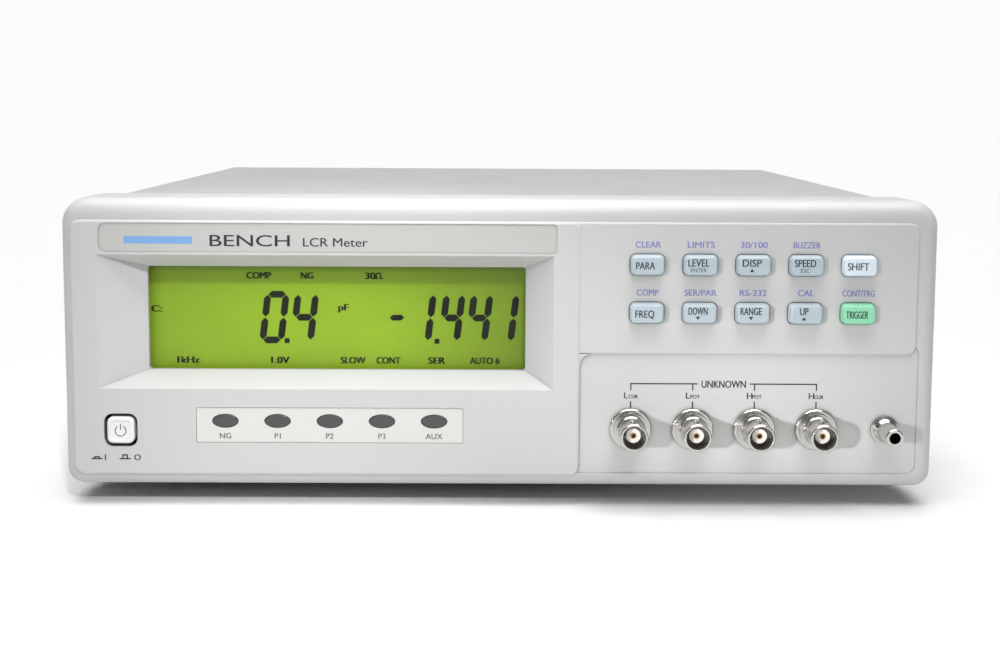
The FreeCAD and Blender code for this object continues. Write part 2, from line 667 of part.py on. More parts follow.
def rear_screws():
    screws = [screw_y(x, z, REAR_PANEL_Y, 1, 2.8, 1.9, 5.0, 1.25) for x, z in REAR_SCREWS]
    seat = REAR_PANEL_Y + 2.4
    screws += [screw_y(INLET_X + side * 20.0, INLET_Z, seat, 1, 2.8, 1.6, 7.0, 1.25) for side in (-1, 1)]
    return screws


INLET_FRONT = REAR_PANEL_Y + 2.4
SOCKET_Z = INLET_Z + 4.8
DRAWER_Z = INLET_Z - 10.4


def mains_inlet():
    """Appliance inlet with screw ears, a plug socket above and a fuse drawer's slot below."""
    inner = REAR_PANEL_Y - 27.0
    body = block(INLET_X, INLET_Z, 26.8, 30.8, inner, REAR_PANEL_Y, 0.8)
    ears = block(INLET_X, INLET_Z, 48.0, 15.0, REAR_PANEL_Y, INLET_FRONT, 7.0)
    flange = block(INLET_X, INLET_Z, 30.5, 34.5, REAR_PANEL_Y, INLET_FRONT, 2.0)
    body = body.fuse([ears, flange])
    socket = block(INLET_X, SOCKET_Z, 24.2, 16.6, INLET_FRONT - 17.0, INLET_FRONT + 1, (1.0, 1.0, 4.5, 4.5))
    slot = block(INLET_X, DRAWER_Z, 20.8, 7.8, INLET_FRONT - 24.5, INLET_FRONT + 1)
    ear_holes = [rod_y(INLET_X + side * 20.0, INLET_Z, 1.6, inner, INLET_FRONT + 1) for side in (-1, 1)]
    return body.cut([socket, slot] + ear_holes + inlet_blades()).removeSplitter()


def inlet_blades():
    """Earth blade above and in the middle, line and neutral lower down at the sides."""
    blades = []
    for dx, dz in ((0.0, 4.0), (-7.0, -0.6), (7.0, -0.6)):
        root, tip = REAR_PANEL_Y - 33.0, INLET_FRONT - 2.0
        blades.append(block(INLET_X + dx, SOCKET_Z - 1.2 + dz, 2.0, 4.0, root, tip))
    return blades


def fuse_drawer():
    tray = block(INLET_X, DRAWER_Z, 20.4, 7.4, INLET_FRONT - 24.0, INLET_FRONT - 0.1)
    lip = block(INLET_X, DRAWER_Z, 22.0, 8.6, INLET_FRONT + 0.05, INLET_FRONT + 1.2, 0.5)
    neck = block(INLET_X, DRAWER_Z, 20.4, 7.4, INLET_FRONT - 0.2, INLET_FRONT + 0.1)
    inner_end, outer_end = INLET_FRONT - 22.6, INLET_FRONT - 1.6
    cradle = box(INLET_X - 8.2, INLET_X + 8.2, inner_end, outer_end, DRAWER_Z - 2.8, DRAWER_Z + 5)
    return tray.fuse([neck, lip]).cut(cradle).removeSplitter()


def fuse():
    """Glass fuse with a cap at each end, across the drawer's length."""
    y0 = INLET_FRONT - 22.2
    x, z, radius = INLET_X, DRAWER_Z - 0.2, 2.5
    return [rod_y(x, z, radius, y0, y0 + 5), rod_y(x, z, radius - 0.3, y0 + 5, y0 + 15),
            rod_y(x, z, radius, y0 + 15, y0 + 20)]


def port_shells():
    """Plated connector shells with their flanges behind the rear panel."""
    inner = REAR_PANEL_Y - REAR_SHEET
    pieces = []
    for x, width, flange in PORTS:
        shell = d_prism(x, PORT_Z, width, 8.0, inner - 0.8, REAR_PANEL_Y + 5.0)
        plate = block(x, PORT_Z, flange, 12.5, inner - 0.8, inner, 1.5)
        shell = shell.fuse(plate).cut(d_prism(x, PORT_Z, width - 1.0, 7.0, inner - 2, REAR_PANEL_Y + 6))
        holes = [rod_y(x + side * (flange / 2 - 3.0), PORT_Z, 1.5, inner - 2, inner + 1) for side in (-1, 1)]
        pieces.append(shell.cut(holes))
    return pieces


def port_inserts():
    """Moulded socket faces inside the shells, and the right-angle bodies that stand on the main board."""
    inner = REAR_PANEL_Y - REAR_SHEET
    pieces = []
    for number, (x, width, flange) in enumerate(PORTS):
        face = d_prism(x, PORT_Z, width - 1.1, 6.9, inner - 0.8, REAR_PANEL_Y + 4.6)
        body = block(x, PORT_Z - 0.2, flange - 12.6, 12.0, inner - 12.0, inner - 0.8)
        foot = box(x - flange / 2 + 6.3, x + flange / 2 - 6.3, inner - 12.0, inner - 8.0,
                   MAIN_BOARD_Z + BOARD_SHEET, PORT_Z)
        solid = face.fuse([body, foot]).removeSplitter()
        columns = (5, 13)[number]
        sockets = []
        for row in range(2):
            for k in range(columns - row):
                sx = x + (k - (columns - row - 1) / 2) * 2.76
                sz = PORT_Z + 1.42 - 2.84 * row
                sockets.append(rod_y(sx, sz, 0.55, REAR_PANEL_Y + 1.0, REAR_PANEL_Y + 6))
        pieces.append(solid.cut(sockets))
    return pieces


def port_jackscrews():
    pieces = []
    for x, _, flange in PORTS:
        for side in (-1, 1):
            sx = x + side * (flange / 2 - 3.0)
            inner = REAR_PANEL_Y - REAR_SHEET
            post = hexagon_y(sx, PORT_Z, 4.8, REAR_PANEL_Y, REAR_PANEL_Y + 5.0)
            post = post.fuse(rod_y(sx, PORT_Z, 1.4, inner - 4.0, REAR_PANEL_Y))
            thread = rod_y(sx, PORT_Z, 1.1, REAR_PANEL_Y + 0.5, REAR_PANEL_Y + 6)
            pieces.append(post.cut(thread).removeSplitter())
    return pieces


def earth_stud():
    """Stepped rear earth stud: head inside the case, shank through the panel, thinner free end."""
    inner = REAR_PANEL_Y - REAR_SHEET
    tip = back(CASE_DEPTH) + STUD_REACH
    step = REAR_PANEL_Y + STUD_NUT_HEIGHT
    free_end = rod_y(STUD_X, STUD_Z, STUD_RADIUS, step, tip)
    free_end = free_end.makeChamfer(0.4, edges_in_plane(free_end, tip))
    shank = rod_y(STUD_X, STUD_Z, STUD_SHANK_RADIUS, inner, step)
    head = hexagon_y(STUD_X, STUD_Z, 8.0, inner - 2.6, inner)
    return free_end.fuse([shank, head]).removeSplitter()


def earth_stud_nut():
    nut = hexagon_y(STUD_X, STUD_Z, 8.0, REAR_PANEL_Y + 0.8, REAR_PANEL_Y + STUD_NUT_HEIGHT)
    washer = rod_y(STUD_X, STUD_Z, 5.0, REAR_PANEL_Y, REAR_PANEL_Y + 0.8)
    hole = rod_y(STUD_X, STUD_Z, STUD_SHANK_RADIUS, REAR_PANEL_Y - 1, REAR_PANEL_Y + 6)
    return nut.fuse(washer).cut(hole)


# Works inside the case ------------------------------------------------------------------------
BOARD_TOP = MAIN_BOARD_Z + BOARD_SHEET
BOARD_POSTS = [(x, y) for x in (-48.0, 46.0, 139.0) for y in (-92.0, 20.0, 120.0)]


def main_board():
    board = box(-55.0, 146.0, -100.0, 136.0, MAIN_BOARD_Z, BOARD_TOP)
    return board.cut([rod_z(x, y, 1.6, 15, 25) for x, y in BOARD_POSTS])


def board_standoffs():
    """Round pillars under the main board, each with a locating neck through it."""
    pieces = []
    floor = CASE_BOTTOM + TRAY_SHEET
    for x, y in BOARD_POSTS:
        pillar = Part.makeCylinder(3.0, MAIN_BOARD_Z - floor, Vector(x, y, floor))
        pieces.append(pillar.fuse(rod_z(x, y, 1.5, MAIN_BOARD_Z - 0.5, BOARD_TOP)).removeSplitter())
    return pieces


def main_board_screws():
    """Pan heads over the pillars, each with a cross slot."""
    screws = []
    for x, y in BOARD_POSTS:
        head = rod_z(x, y, 2.8, BOARD_TOP, BOARD_TOP + 1.8)
        bottom, top = BOARD_TOP + 0.8, BOARD_TOP + 3
        slots = [box(x - w, x + w, y - l, y + l, bottom, top) for w, l in ((1.4, 0.3), (0.3, 1.4))]
        screws.append(head.cut(slots))
    return screws


def board_chips():
    """Flat integrated circuits, measuring circuits to the front and processor to the rear."""
    places = (
        (60, -40, 24, 24, 3), (95, -35, 20, 8, 4), (95, -15, 20, 8, 4), (122, -38, 10, 18, 3),
        (0, -20, 28, 14, 4), (0, 15, 36, 16, 4.5), (55, 45, 14, 20, 3), (90, 20, 20, 20, 3),
        (-30, -55, 20, 8, 4), (25, -60, 12, 12, 3),
    )
    chips = []
    for x, y, w, l, h in places:
        chips.append(box(x - w / 2, x + w / 2, y - l / 2, y + l / 2, BOARD_TOP, BOARD_TOP + h))
    return chips


def board_relays():
    """Signal relays behind the terminals."""
    pieces = []
    for k in range(6):
        x = 48.0 + 14.5 * k
        relay = box(x - 5.0, x + 5.0, -83.0, -63.0, BOARD_TOP, BOARD_TOP + 11.0)
        upright = [e for e in relay.Edges if e.BoundBox.ZLength > 10.0]
        pieces.append(relay.makeFillet(1.0, upright))
    return pieces


def board_capacitors():
    """Smoothing capacitors beside the transformer and small ones along the board."""
    large = [rod_z(-38.0, y, 9.0, BOARD_TOP, BOARD_TOP + 30.0) for y in (48.0, 70.0, 92.0)]
    small = [rod_z(-34.0, -6.0 + 12.0 * k, 4.0, BOARD_TOP, BOARD_TOP + 12.0) for k in range(4)]
    small += [rod_z(120.0, -5.0 + 14.0 * k, 5.0, BOARD_TOP, BOARD_TOP + 16.0) for k in range(3)]
    return large + small


def heat_sink():
    base = box(50.0, 120.0, 96.0, 100.0, BOARD_TOP, BOARD_TOP + 32.0)
    fins = [box(50.0 + 7.5 * k, 52.0 + 7.5 * k, 86.0, 96.0, BOARD_TOP, BOARD_TOP + 32.0) for k in range(10)]
    return base.fuse(fins).removeSplitter()


def regulators():
    """Power transistors standing against the heat sink."""
    pieces = []
    for x in (58.0, 76.0, 94.0, 112.0):
        tab = box(x - 5.0, x + 5.0, 100.0, 101.3, BOARD_TOP + 4.0, BOARD_TOP + 19.6)
        case = box(x - 5.0, x + 5.0, 101.3, 104.6, BOARD_TOP + 4.0, BOARD_TOP + 13.0)
        legs = []
        for d in (-2.54, 0, 2.54):
            legs.append(box(x + d - 0.4, x + d + 0.4, 102.3, 102.9, BOARD_TOP, BOARD_TOP + 4.0))
        pieces.append(tab.fuse([case] + legs).removeSplitter())
    return pieces


TRANSFORMER = (-95.0, 45.0)     # centre in plan


def transformer_core():
    x, y = TRANSFORMER
    floor = CASE_BOTTOM + TRAY_SHEET
    stack = box(x - 27.0, x + 27.0, y - 15.0, y + 15.0, floor, floor + 54.0)
    windows = []
    for a, b in ((-18.0, -9.0), (9.0, 18.0)):
        windows.append(box(x + a, x + b, y - 16, y + 16, floor + 9.0, floor + 45.0))
    feet = box(x - 38.0, x + 38.0, y - 10.0, y + 10.0, floor, floor + 1.5)
    return stack.cut(windows).fuse(feet).removeSplitter()


def transformer_coil():
    x, y = TRANSFORMER
    floor = CASE_BOTTOM + TRAY_SHEET
    coil = box(x - 17.8, x + 17.8, y - 24.0, y + 24.0, floor + 9.2, floor + 44.8)
    upright = [e for e in coil.Edges if e.BoundBox.ZLength > 30.0]
    coil = coil.makeFillet(5.0, upright)
    limb = box(x - 9.2, x + 9.2, y - 15.2, y + 15.2, floor + 9.0, floor + 45.0)
    return coil.cut(limb)


def buzzer():
    body = rod_z(20.0, 85.0, 6.0, BOARD_TOP, BOARD_TOP + 8.5)
    return body.cut(rod_z(20.0, 85.0, 1.2, BOARD_TOP + 6.0, BOARD_TOP + 10.0))


RIBBON_DROP_Y = -103.5          # the cables hang down to the main board here
RIBBONS = (
    (-38.0, -12.0, back(20.6), up(53.0)),       # from the display board: x from, x to, board face, height
    (82.0, 104.0, back(10.4), up(71.0)),        # from the key board
)


def ribbon_headers():
    pieces = []
    for x0, x1, board_y, high in RIBBONS:
        pieces.append(box(x0 - 1.5, x1 + 1.5, board_y, board_y + 7.0, high - 4.0, high + 4.0))
        pieces.append(box(x0 - 3.0, x1 + 3.0, -94.0, -86.0, BOARD_TOP, BOARD_TOP + 9.0))
    return pieces


def ribbon_cables():
    """Flat cables from the display board and the key board down to the main board."""
    low = BOARD_TOP + 5.0
    cables = []
    for x0, x1, board_y, high in RIBBONS:
        points = [(board_y + 7.0, high), (RIBBON_DROP_Y, high), (RIBBON_DROP_Y, low), (-94.0, low)]
        cables.append(bent_strip(points, 0.9, 3.0, lambda p: Vector(x0, p.x, p.y), Vector(x1 - x0, 0, 0)))
    return cables


# Export ---------------------------------------------------------------------------------------
def parts():
    """Every node's name and its solid or solids."""
    made = {}
    for make in (
        front_bezel, name_plate, lamp_plate, lamp_lenses, lamp_leds, key_mat, key_board, power_button,
        power_push_rod, power_switch, switch_bracket, display_window, display_frame, display_glass,
        display_backlight, display_board, terminal_shells, terminal_insulators, terminal_contacts,
        terminal_nuts, earth_post, earth_post_nut, top_cover, chassis_tray, subpanel, feet, rear_panel,
        mains_inlet, inlet_blades, fuse_drawer, fuse, port_shells, port_inserts, port_jackscrews,
        earth_stud, earth_stud_nut, main_board, board_standoffs, board_chips, board_relays,
        board_capacitors, heat_sink, regulators, transformer_core, transformer_coil, buzzer,
        ribbon_headers, ribbon_cables,
    ):
        made[make.__name__] = make()
    made["case_screws"] = cover_screws() + rear_screws() + bezel_screws()
    made["board_screws"] = key_board_screws() + display_board_screws() + main_board_screws()
    for column, row, x, z in key_places():
        made[f"key_{KEY_NAMES[row][column]}"] = key(x, z)
    return made


def main():
    os.makedirs("parts", exist_ok=True)
    for name, shape in parts().items():
        pieces = shape if isinstance(shape, list) else [shape]
        solids = [solid for piece in pieces for solid in piece.Solids]
        for solid in solids:
            if not solid.isValid() or solid.Volume <= 0:
                raise ValueError(f"{name} has a bad solid")
        whole = solids[0] if len(solids) == 1 else Part.makeCompound(solids)
        whole.exportStep(os.path.join("parts", name + ".step"))


main()
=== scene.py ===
"""Looks for the bench LCR meter: finishes, lettering, the lit display, the key mat, light and camera.

Everything is in metres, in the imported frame: +Z up, the front faces -Y. Sizes are written in millimetres
and turned into metres with MM.
"""
import math

import bmesh
import bpy
from mathutils import Matrix, Vector


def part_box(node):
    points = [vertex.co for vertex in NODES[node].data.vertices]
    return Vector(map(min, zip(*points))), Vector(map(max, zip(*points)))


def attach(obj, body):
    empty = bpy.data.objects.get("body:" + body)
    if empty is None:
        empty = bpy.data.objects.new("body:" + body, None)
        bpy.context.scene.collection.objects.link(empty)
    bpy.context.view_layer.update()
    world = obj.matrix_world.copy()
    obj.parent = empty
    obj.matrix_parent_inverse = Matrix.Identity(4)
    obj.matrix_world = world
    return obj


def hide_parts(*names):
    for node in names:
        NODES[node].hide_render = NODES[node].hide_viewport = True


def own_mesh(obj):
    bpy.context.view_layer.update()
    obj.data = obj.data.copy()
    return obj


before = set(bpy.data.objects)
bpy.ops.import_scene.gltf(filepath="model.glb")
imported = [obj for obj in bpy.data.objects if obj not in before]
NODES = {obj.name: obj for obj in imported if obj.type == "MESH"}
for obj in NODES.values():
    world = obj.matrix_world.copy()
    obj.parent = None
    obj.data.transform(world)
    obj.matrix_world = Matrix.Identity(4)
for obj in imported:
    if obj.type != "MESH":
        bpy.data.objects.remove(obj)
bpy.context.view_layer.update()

MM = 0.001

# Places read from the frame -------------------------------------------------------------------
BEZEL_LOW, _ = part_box("front_bezel")
PANEL_Y = BEZEL_LOW.y                       # face of the raised plates
BASE_Z = BEZEL_LOW.z                        # lower edge of the bezel
KEY_FACE = PANEL_Y + 0.4 * MM               # face of the key plate
TERMINAL_FACE = PANEL_Y + 1.2 * MM          # face of the terminal plate
GLASS_LOW, GLASS_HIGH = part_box("display_glass")
GLASS_MIDDLE = (GLASS_LOW + GLASS_HIGH) / 2
GLASS_HALF = (GLASS_HIGH - GLASS_LOW) / 2


def middle_of(node):
    low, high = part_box(node)
    return (low + high) / 2


# Colours --------------------------------------------------------------------------------------
def paint(red, green, blue):
    """Linear colour of an 8-bit display colour."""
    channels = []
    for value in (red, green, blue):
        share = value / 255
        channels.append(share / 12.92 if share <= 0.04045 else ((share + 0.055) / 1.055) ** 2.4)
    return (*channels, 1.0)


def shade(colour, factor):
    """The colour made darker or lighter by a factor."""
    return tuple(min(1.0, c * factor) for c in colour[:3]) + (1.0,)


PALE = paint(190, 190, 189)                 # the bezel's plastic
DUST = paint(170, 165, 155)
# colour of the painted shade in grooves and bores
PAINTED_SHADE = paint(52, 52, 52)
NICKEL = paint(206, 204, 200)

# Materials ------------------------------------------------------------------------------------
NOISE_SPAN = (0.3, 0.7)         # nearly all values of a smooth noise lie in here
FLECK_SPAN = (0.35, 0.65)       # a tighter span, for flecks with clearer edges
RAY_SAMPLES = 6                 # of the bevel and occlusion nodes


class Finish:
    """One procedural material. Each method adds a stage of nodes to the principled shader."""

    def __init__(self, name, metallic=0.0, **sockets):
        self.material = bpy.data.materials.new(name)
        self.material.use_nodes = True
        self.tree = self.material.node_tree
        self.shader = self.tree.nodes["Principled BSDF"]
        self.shader.inputs["Metallic"].default_value = metallic
        for socket, value in sockets.items():
            self.shader.inputs[socket.replace("_", " ")].default_value = value
        self.place = self.tree.nodes.new("ShaderNodeTexCoord").outputs["Object"]
        self.normal = None

    def add(self, kind, inputs=None, **settings):
        """Adds a node. An input is another node's output, which is linked, or a plain value."""
        node = self.tree.nodes.new("ShaderNode" + kind)
        for key, value in settings.items():
            setattr(node, key, value)
        for key, value in (inputs or {}).items():
            socket = node.inputs[key]
            if isinstance(value, bpy.types.NodeSocket):
                self.tree.links.new(value, socket)
            else:
                socket.default_value = value
        return node

    def feed(self, socket, output):
        """Links a node's output to one of the shader's sockets."""
        self.tree.links.new(output, self.shader.inputs[socket])
        return self

    def recolour(self, output):
        """Makes a node's output the base colour, which later stages work on."""
        self.colour = output
        return self.feed("Base Color", output)

    def combine(self, operation, first, second):
        return self.add("Math", {0: first, 1: second}, operation=operation).outputs[0]

    def noise(self, size_mm, detail=3.0, rough=0.55, stretch=(1, 1, 1)):
        """Noise with features about size_mm across, drawn out by stretch along X, Y and Z."""
        scale = [1 / (size_mm * MM * s) for s in stretch]
        moved = self.add("Mapping", {"Vector": self.place, "Scale": scale}).outputs[0]
        inputs = {"Vector": moved, "Scale": 1.0, "Detail": detail, "Roughness": rough}
        return self.add("TexNoise", inputs).outputs["Fac"]

    def spread(self, value, low, high, out_low=0.0, out_high=1.0):
        """Maps low to high onto out_low to out_high, and clamps what lies outside."""
        inputs = {"Value": value, "From Min": low, "From Max": high, "To Min": out_low, "To Max": out_high}
        return self.add("MapRange", inputs, clamp=True).outputs[0]

    def mix(self, factor, first, second):
        """Blends two colours."""
        return self.add("Mix", {0: factor, 6: first, 7: second}, data_type="RGBA").outputs[2]

    def tint(self, colour, size_mm, amount, fleck_mm, fleck):
        """Base colour that drifts by amount over size_mm, with flecks fleck_mm across."""
        drift = self.spread(self.noise(size_mm), *NOISE_SPAN)
        slow = self.mix(drift, shade(colour, 1 - amount), shade(colour, 1 + amount))
        fine = self.spread(self.noise(fleck_mm, 2.0), *FLECK_SPAN)
        return self.recolour(self.mix(fine, shade(colour, 1 - fleck), slow))

    def gloss(self, low, high, size_mm, stretch=(1, 1, 1)):
        """Roughness that drifts between low and high over size_mm."""
        drift = self.noise(size_mm, 4.0, stretch=stretch)
        return self.feed("Roughness", self.spread(drift, *NOISE_SPAN, low, high))

    def round_edges(self, radius_mm):
        """Shades hard edges as if they were rounded."""
        self.normal = self.add("Bevel", {"Radius": radius_mm * MM}, samples=RAY_SAMPLES).outputs[0]
        return self.feed("Normal", self.normal)

    def relief(self, height, depth_mm, strength=1.0):
        """Bump from a height of 0 to 1, on top of the stages before it."""
        inputs = {"Height": height, "Distance": depth_mm * MM, "Strength": strength}
        if self.normal:
            inputs["Normal"] = self.normal
        self.normal = self.add("Bump", inputs).outputs[0]
        return self.feed("Normal", self.normal)

    def grain(self, size_mm, depth_mm, strength=1.0, detail=2.0, stretch=(1, 1, 1)):
        """Fine bump from noise."""
        return self.relief(self.noise(size_mm, detail, stretch=stretch), depth_mm, strength)

    def wear(self, colour, radius_mm, amount, patch_mm=6.0):
        """Edges rubbed to another colour, in patches."""
        rounded = self.add("Bevel", {"Radius": radius_mm * MM}, samples=RAY_SAMPLES).outputs[0]
        flat = self.add("NewGeometry").outputs["Normal"]
        facing = self.add("VectorMath", {0: rounded, 1: flat}, operation="DOT_PRODUCT").outputs["Value"]
        edge = self.spread(facing, 0.98, 0.80)
        patch = self.spread(self.noise(patch_mm, 5.0, 0.7), 0.45, 0.6, 0.0, amount)
        return self.recolour(self.mix(self.combine("MULTIPLY", edge, patch), self.colour, colour))

    def painted_crevice_shade(self, reach_mm, amount):
        """Painted shade: darker colour in grooves and bores narrower than reach_mm, where occlusion finds
        little open sky.
        """
        occlusion = self.add("AmbientOcclusion", {"Distance": reach_mm * MM}, samples=RAY_SAMPLES)
        crevice_shading = self.spread(occlusion.outputs["AO"], 0.25, 0.8, amount, 0.0)
        return self.recolour(self.mix(crevice_shading, self.colour, PAINTED_SHADE))

    def dust(self, amount, patch_mm=18.0):
        """A little dust on faces that look up, in patches."""
        normal = self.add("NewGeometry").outputs["Normal"]
        upward = self.add("SeparateXYZ", {0: normal}).outputs["Z"]
        facing = self.spread(upward, 0.6, 1.0)
        patch = self.spread(self.noise(patch_mm, 6.0, 0.7), 0.4, 0.7, 0.0, amount)
        return self.recolour(self.mix(self.combine("MULTIPLY", facing, patch), self.colour, DUST))


def moulded(name, colour, rough=(0.42, 0.55), grain_mm=0.35, depth_mm=0.012, edge_mm=0.2):
    """Injection-moulded plastic: span of roughness, size and depth of its texture, radius of its edges."""
    finish = Finish(name, Specular_IOR_Level=0.45)
    finish.tint(colour, size_mm=45.0, amount=0.012, fleck_mm=0.5, fleck=0.012).gloss(*rough, size_mm=10.0)
    return finish.round_edges(edge_mm).grain(grain_mm, depth_mm)


def printed(name, colour):
    """Matt screen-printing ink."""
    return moulded(name, colour, (0.5, 0.65), grain_mm=0.3, depth_mm=0.004)


def painted(name, colour):
    """Powder-coated sheet metal: a fine pebble with a soft sheen."""
    finish = Finish(name, Specular_IOR_Level=0.5)
    finish.tint(colour, size_mm=60.0, amount=0.02, fleck_mm=0.8, fleck=0.025)
    finish.gloss(0.38, 0.52, size_mm=14.0).round_edges(radius_mm=0.35)
    finish.grain(size_mm=0.9, depth_mm=0.05, strength=0.8, detail=3.0).grain(size_mm=0.25, depth_mm=0.01)
    return finish.wear(shade(colour, 0.72), radius_mm=0.8, amount=0.25).dust(amount=0.08)


def plated(name, colour, rough, brush=(1, 1, 1)):
    """Metal with faint stains and fine working marks, which brush draws out along X, Y and Z."""
    finish = Finish(name, metallic=1.0)
    finish.tint(colour, size_mm=6.0, amount=0.06, fleck_mm=0.5, fleck=0.03)
    finish.gloss(*rough, size_mm=1.6, stretch=brush).round_edges(radius_mm=0.12)
    return finish.grain(size_mm=0.25, depth_mm=0.004, strength=0.6, detail=3.0, stretch=brush)


def board_finish():
    """Green solder mask with darker tracks under it."""
    finish = Finish("circuit_board", Specular_IOR_Level=0.5, Coat_Weight=0.4, Coat_Roughness=0.15)
    cell = (2.2 * MM, 3.1 * MM, 2.2 * MM)
    grid = finish.add("Mapping", {"Vector": finish.place, "Scale": [1 / size for size in cell]}).outputs[0]
    cells = finish.add("TexVoronoi", {"Vector": grid, "Scale": 1.0}, distance="CHEBYCHEV")
    track = finish.spread(cells.outputs["Distance"], 0.38, 0.42)
    mask = finish.mix(track, paint(22, 92, 52), paint(12, 62, 36))
    drift = finish.spread(finish.noise(size_mm=20.0), *NOISE_SPAN)
    finish.recolour(finish.mix(drift, mask, paint(18, 80, 46)))
    return finish.gloss(0.25, 0.4, size_mm=6.0).relief(track, depth_mm=0.03, strength=0.5)


def glow(name, colour, strength):
    """Backlit liquid crystal, brightest in the middle, with painted shade that dims it towards its rim and
    painted shadows of the well's edges.
    """
    finish = Finish(name, Roughness=0.35)
    half = GLASS_HALF
    place = finish.add("VectorMath", {0: finish.place, 1: GLASS_MIDDLE}, operation="SUBTRACT").outputs[0]
    share = finish.add("VectorMath", {0: place, 1: (1 / half.x, 0, 1 / half.z)}, operation="MULTIPLY")
    reach = finish.add("VectorMath", {0: share.outputs[0]}, operation="LENGTH").outputs["Value"]
    # painted shade: the cell is darker towards its rim
    rim_shade = finish.spread(reach, 0.35, 1.35)
    drift = finish.spread(finish.noise(size_mm=22.0), *NOISE_SPAN, 0.0, 0.25)
    lit = finish.mix(finish.combine("ADD", rim_shade, drift), colour, shade(colour, 0.72))
    axes = finish.add("SeparateXYZ", {0: place})
    bands = (       # axis, where the darkening is full, where it ends, its share
        ("Z", half.z - 3.6 * MM, half.z - 6.2 * MM, 0.75),      # painted shadow under the well's upper edge
        ("X", 2.4 * MM - half.x, 7.4 * MM - half.x, 0.3),       # painted shadow beside its left edge
        ("Z", half.z - 4.0 * MM, half.z - 16.0 * MM, 0.2),      # painted shade falling slowly towards the top
        ("X", half.x - 4.0 * MM, half.x - 50.0 * MM, 0.4),      # and darker towards the right
    )
    for axis, full, none, amount in bands:
        band = finish.spread(axes.outputs[axis], full, none, amount, 0.0)
        lit = finish.mix(band, lit, shade(colour, 0.25))
    grille = finish.spread(finish.noise(size_mm=0.35, detail=1.0), *NOISE_SPAN, 0.0, 0.06)
    finish.recolour(finish.mix(grille, lit, shade(colour, 0.5)))
    finish.feed("Emission Color", finish.colour)
    finish.shader.inputs["Emission Strength"].default_value = strength
    return finish.gloss(0.3, 0.42, size_mm=12.0)


def clear(name, colour, alpha):
    """Thin clear sheet: mostly see-through, with a faint surface gloss."""
    finish = Finish(name, Roughness=0.06, Alpha=alpha, Specular_IOR_Level=0.15)
    finish.tint(colour, size_mm=30.0, amount=0.03, fleck_mm=1.0, fleck=0.02)
    return finish.gloss(0.03, 0.09, size_mm=25.0).grain(size_mm=14.0, depth_mm=0.01, strength=0.2)


# After a moulding's colour come its span of roughness and its texture's size and depth in millimetres
FINISHES = {
    # The bezel and the lamp lenses get painted shade in their grooves and round their rims
    "bezel": moulded("bezel_plastic", PALE).painted_crevice_shade(3.0, 0.75),
    "name_plate": moulded("name_plate_film", paint(182, 183, 180), (0.3, 0.4), 0.25, 0.006),
    "lamp_plate": moulded("lamp_plate_film", paint(204, 204, 201), (0.32, 0.42), 0.25, 0.006),
    "lens": moulded("lamp_lens", paint(70, 70, 70), (0.12, 0.22), 0.8, 0.004, 0.5).painted_crevice_shade(1.5, 0.5),
    "led": moulded("led_epoxy", paint(190, 60, 45), (0.1, 0.2), 0.8, 0.003),
    "silicone": moulded("silicone_rubber", paint(205, 205, 198), (0.5, 0.62), 0.6, 0.01),
    "board": board_finish(),
    "key": moulded("key_blue_grey", paint(170, 183, 191), (0.3, 0.42), 0.3, 0.006),
    "key_pale": moulded("key_pale_blue", paint(210, 223, 234), (0.3, 0.42), 0.3, 0.006),
    "key_green": moulded("key_green", paint(136, 206, 169), (0.3, 0.42), 0.3, 0.006),
    "button": moulded("button_grey", paint(222, 223, 223), (0.28, 0.4), 0.3, 0.006),
    "black": moulded("black_plastic", paint(36, 36, 38), (0.38, 0.5), 0.4, 0.012),
    "zinc": plated("zinc_steel", paint(188, 190, 188), (0.28, 0.42), (1, 6, 1)),
    "window": clear("window_acrylic", paint(60, 66, 48), 0.05),
    "crystal": glow("liquid_crystal", paint(139, 174, 28), 0.31),
    "backlight": glow("backlight_diffuser", paint(200, 230, 110), 0.3),
    # Painted shade in the terminals' bores, and stronger painted shade in the earth post's socket
    "nickel": plated("nickel_plate", NICKEL, (0.14, 0.26)).painted_crevice_shade(6.0, 0.5),
    "post": plated("nickel_plate_socket", NICKEL, (0.14, 0.26)).painted_crevice_shade(6.0, 0.85),
    "dielectric": moulded("terminal_insulator", paint(254, 248, 240), (0.35, 0.45), 0.5, 0.004),
    "gold": plated("gold_plate", paint(178, 152, 112), (0.22, 0.34)),
    "cover": painted("cover_paint", paint(184, 185, 185)),
    "rubber": moulded("foot_rubber", paint(38, 38, 38), (0.7, 0.85), 0.5, 0.03),
    "screw": plated("screw_steel", paint(176, 176, 172), (0.22, 0.38)),
    "relay": moulded("relay_case", paint(226, 220, 190)),
    "sleeve": moulded("capacitor_sleeve", paint(26, 34, 70), (0.2, 0.3), 1.5, 0.01),
    "anodised": plated("black_anodised", paint(48, 48, 50), (0.4, 0.55), (1, 1, 8)),
    "epoxy": moulded("chip_epoxy", paint(32, 32, 33), (0.5, 0.65)),
    "core": plated("core_laminations", paint(92, 88, 84), (0.4, 0.6), (30, 0.6, 30)),
    "tape": moulded("coil_tape", paint(226, 196, 70), (0.2, 0.32), 3.0, 0.02),
    "ribbon": moulded("ribbon_cable", paint(168, 168, 170), (0.4, 0.5)),
    "ink": printed("black_ink", paint(38, 40, 46)),
    "ink_grey": printed("grey_ink", paint(92, 92, 94)),
    "ink_violet": printed("violet_ink", paint(118, 116, 186)),
    "ink_blue": printed("blue_ink", paint(116, 160, 210)),
    "segment": moulded("crystal_segment", paint(12, 16, 4), (0.7, 0.8), 0.5, 0.002),
}

